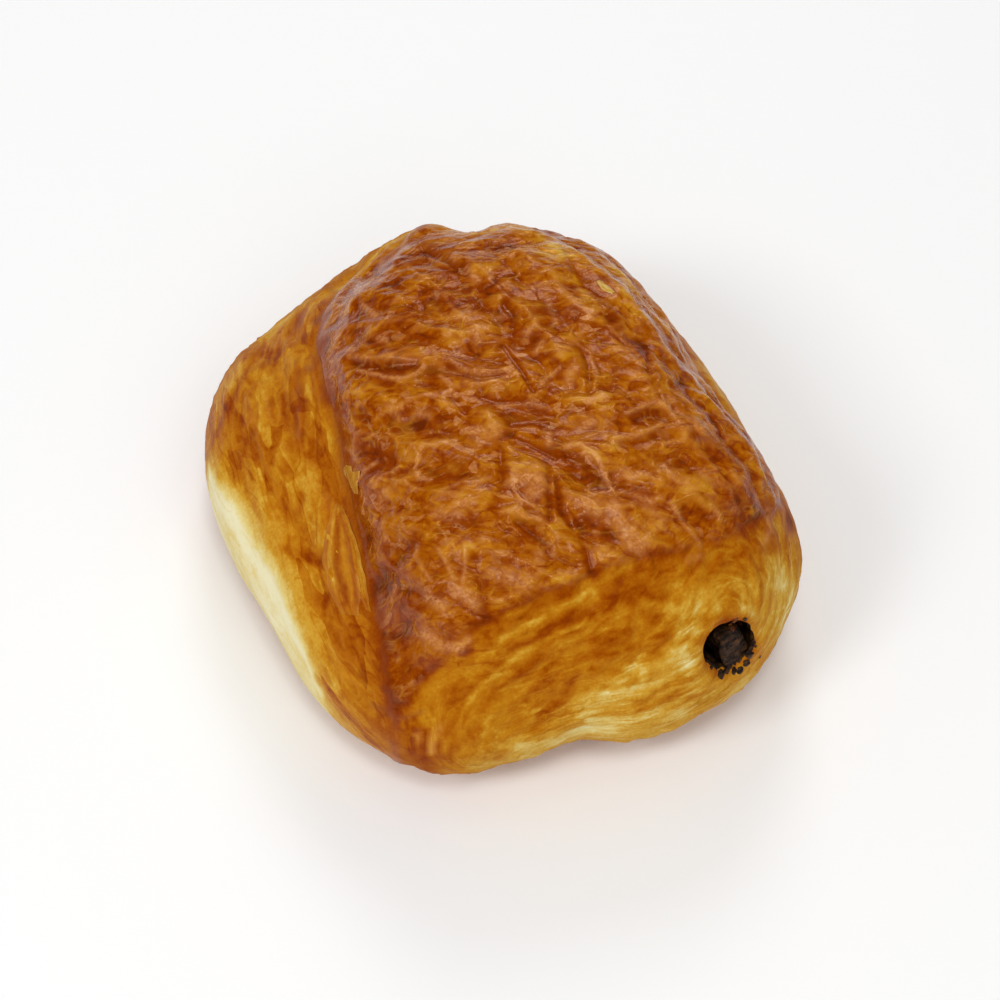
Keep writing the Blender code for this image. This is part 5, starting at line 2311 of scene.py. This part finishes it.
        # leaf edges take a painted highlight
        values |= {"bake": bake, "painted_sheen": self.edge_painted_sheen * edge.ravel(), "lay": fibres, "flow": fibres}
        carry(mesh, {name: np.concatenate([value, value]) for name, value in values.items()})


LEAF_RIBS_AND_SHADOW = marks({
    PALE: (
        (1.8, 0.8, (338, 510), (332, 530), (329, 552), (332, 575), (341, 600)),
        (1.5, 0.5, (341, 514), (343, 540), (345, 566), (352, 600)),
        (1.7, 0.7, (344, 516), (353, 542), (359, 566), (364, 596)),
    ),
    BROWN: (
        (2.0, 1.0, (339, 514), (337, 540), (338, 566), (346, 604)),
        (1.8, 1.0, (342, 514), (348, 540), (353, 570), (358, 604)),
        # the first run here paints the shadow along the lower leaf's left edge
        (2.0, 0.6, (325, 560), (330, 590), (340, 606)), (7.0, 0.5, (340, 592), (352, 600), (366, 600)),
    ),
})
FLAKES = (
    Flake(
        "lifted_leaf_lower",
        ((336, 503), (332, 515), (326, 528), (325, 542), (321, 556), (326, 574), (330, 594), (342, 614)),
        ((339, 504), (346, 522), (352, 544), (355, 562), (361, 580), (362, 596), (358, 616)),
        lift=0.12, curl=0.05, bake=0.54, film=0.1, gloss=0.15, thickness=0.1, ragged=2.4,
        marks=LEAF_RIBS_AND_SHADOW, seed=82,
    ),
    Flake(
        "lifted_leaf_upper",
        ((339, 508), (344, 524), (349, 546), (352, 570), (358, 592), (367, 610)),
        ((342, 506), (350, 522), (357, 544), (363, 568), (367, 590), (371, 612)),
        lift=0.2, curl=0.1, bake=0.5, film=0.1, gloss=0.15, thickness=0.1, ragged=2.2,
        marks=LEAF_RIBS_AND_SHADOW, seed=86,
    ),
    Flake(
        "pale_flake",
        ((346, 465), (343, 469), (344, 475), (349, 479), (351, 487), (355, 494)),
        ((352, 466), (353, 473), (362, 470), (359, 479), (357, 486), (358, 494)),
        lift=0.1, curl=0.05, bake=0.36, film=0.25, gloss=0.1, thickness=0.07, ragged=1.7,
        steps=40, columns=12, seed=90,
    ),
    Flake(
        "back_flake",
        ((597, 281), (599, 286), (604, 291), (612, 294)),
        ((599, 280), (603, 283), (610, 288), (615, 292)),
        lift=0.1, curl=0.05, bake=0.2, film=0.25, gloss=0.1, thickness=0.07, ragged=0.7,
        steps=24, columns=10, seed=94,
    ),
)


@dataclass(frozen=True)
class Crumb:
    """One crumb: the photo pixel it shows at, and its size in millimetres."""

    pixel: Pair
    size: float


@dataclass(frozen=True)
class CrumbCluster:
    """A scatter of crumbs that lie on the pastry and round its baton."""

    name: str
    crumbs: tuple[Crumb, ...]
    seed: int = 101

    def build(self, sight: SightLines, material: bpy.types.Material) -> bpy.types.Object:
        """Build the crumbs as one mesh.

        Args:
            sight: Sight lines to the built pastry and baton.
            material: The crumbs' material.

        Returns:
            The new object.
        """
        grain = Grain(self.seed)
        ball = bmesh.new()
        bmesh.ops.create_icosphere(ball, subdivisions=3, radius=1.0)
        round_form = np.array([vertex.co[:] for vertex in ball.verts])
        round_faces = [tuple(vertex.index for vertex in face.verts) for face in ball.faces]
        ball.free()
        places, faces = [], []
        for index, crumb in enumerate(self.crumbs):
            spot, normal = sight.hit(crumb.pixel)
            lump = 1.0 + 0.5 * grain.at(round_form + 7.0 * index, 0.9)
            first = index * len(round_form)
            form = round_form - 0.5 * (round_form @ normal)[:, None] * normal
            places.append(spot + form * (lump * crumb.size)[:, None])
            faces += [tuple(first + corner for corner in face) for face in round_faces]
        made = new_object(self.name, np.concatenate(places), faces, material)
        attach(made, BODY)
        return made


CHOCOLATE_CRUMBS = tuple(
    Crumb(pixel, size)
    for pixel, size in (
        ((753, 643), 0.6), ((750, 654), 0.7), ((745, 619), 0.4), ((721, 674), 0.75), ((726, 671), 0.55),
        ((740, 670), 0.6), ((746, 663), 0.6), ((711, 667), 0.4), ((753, 633), 0.3), ((756, 646), 0.3),
        ((734, 671), 0.5), ((748, 626), 0.4), ((751, 648), 0.5),
    )
)
BROWNED_CRUMBS = tuple(
    Crumb(pixel, size)
    for pixel, size in (
        ((735, 620), 0.55), ((740, 623), 0.5), ((730, 624), 0.35), ((760, 657), 0.3), ((733, 629), 0.4),
    )
)


@dataclass(frozen=True)
class SoftLight:
    """One soft square light: where it shines from, and how large and strong it is."""

    name: str
    turn: float
    rise: float
    reach: float
    size: float
    power: float
    seen: bool = True
    aim_height: float = 0.02

    def build(self) -> None:
        """Hang the light."""
        data = bpy.data.lights.new(self.name, "AREA")
        data.shape = "SQUARE"
        data.size = self.size
        data.energy = self.power
        light = bpy.data.objects.new(self.name, data)
        back = bearing(self.turn, self.rise)
        light.location = Vector((0.0, 0.0, self.aim_height)) + back * self.reach
        light.rotation_mode = "QUATERNION"
        light.rotation_quaternion = back.to_track_quat("Z", "Y")
        light.visible_glossy = self.seen
        bpy.context.scene.collection.objects.link(light)


@dataclass(frozen=True)
class Studio:
    """Pale floor, white surround and soft lights."""

    floor_half: float = 1.5
    floor_drop: float = 0.0003
    floor_tone: float = 0.97
    floor_roughness: float = 0.9
    surround: float = 0.4
    surround_glint: float = 0.0
    lights: tuple[SoftLight, ...] = (
        SoftLight("back_light", 150.0, 42.0, 0.9, 0.3, 1.9),
        SoftLight("top_light", -20.0, 72.0, 0.9, 0.2, 1.5),
        SoftLight("left_light", -80.0, 45.0, 1.0, 0.3, 2.7),
        SoftLight("front_light", -5.0, 45.0, 1.0, 0.6, 1.7, seen=False),
    )

    def build(self) -> None:
        """Build the floor, the surround and the lights."""
        self._floor()
        self._surround()
        for light in self.lights:
            light.build()
        bpy.context.scene.view_settings.view_transform = "Standard"

    def _floor(self) -> None:
        """Make the plain pale floor."""
        half = self.floor_half
        mesh = bpy.data.meshes.new("floor")
        corners = [(-half, -half, 0.0), (half, -half, 0.0), (half, half, 0.0), (-half, half, 0.0)]
        mesh.from_pydata(corners, [], [(0, 1, 2, 3)])
        material, graph, shader = new_material("pale_floor")
        tone = self.floor_tone
        graph.feed(shader, {"Base Color": (tone, tone, tone, 1.0), "Roughness": self.floor_roughness})
        mesh.materials.append(material)
        floor = bpy.data.objects.new("floor", mesh)
        floor.location.z = -self.floor_drop
        bpy.context.scene.collection.objects.link(floor)

    def _surround(self) -> None:
        """Make the white surround, dimmer in reflections than as a light."""
        world = bpy.data.worlds.new("soft_surround")
        world.use_nodes = True
        graph = Graph(world.node_tree)
        background = world.node_tree.nodes["Background"]
        mirrored = graph.add("ShaderNodeLightPath").outputs["Is Glossy Ray"]
        fall = self.surround_glint - self.surround
        strength = graph.math("MULTIPLY_ADD", mirrored, fall, self.surround)
        world.node_tree.links.new(strength, background.inputs["Strength"])
        background.inputs["Color"].default_value = (1.0, 1.0, 1.0, 1.0)
        bpy.context.scene.world = world


def main() -> None:
    """Build the pastry, its baton and the studio, and report each piece."""
    logging.basicConfig(level=logging.INFO, format="%(message)s")
    camera = PhotoCamera()
    camera.build()
    Studio().build()
    skin = PastrySkin(camera=camera)
    crust = CrustFinish().build()
    body = PastryBody(skin, crust, CrumbFinish().build()).build()
    LOG.info("%s: %d faces", body.name, len(body.data.polygons))
    chocolate = ChocolateFinish().build()
    baton = ChocolateStick().build(chocolate)
    LOG.info("%s: %d faces", baton.name, len(baton.data.polygons))
    sight = SightLines(camera, (body.data, baton.data))
    browned = ChocolateFinish("browned_crumb", (84, 34, 6), (156, 84, 22)).build()
    clusters = (
        CrumbCluster("chocolate_crumbs", CHOCOLATE_CRUMBS).build(sight, chocolate),
        CrumbCluster("browned_crumbs", BROWNED_CRUMBS, 103).build(sight, browned),
    )
    leaves = tuple(flake.build(sight, crust) for flake in FLAKES)
    for piece in clusters + leaves:
        LOG.info("%s: %d faces", piece.name, len(piece.data.polygons))


if __name__ == "__main__":
    main()
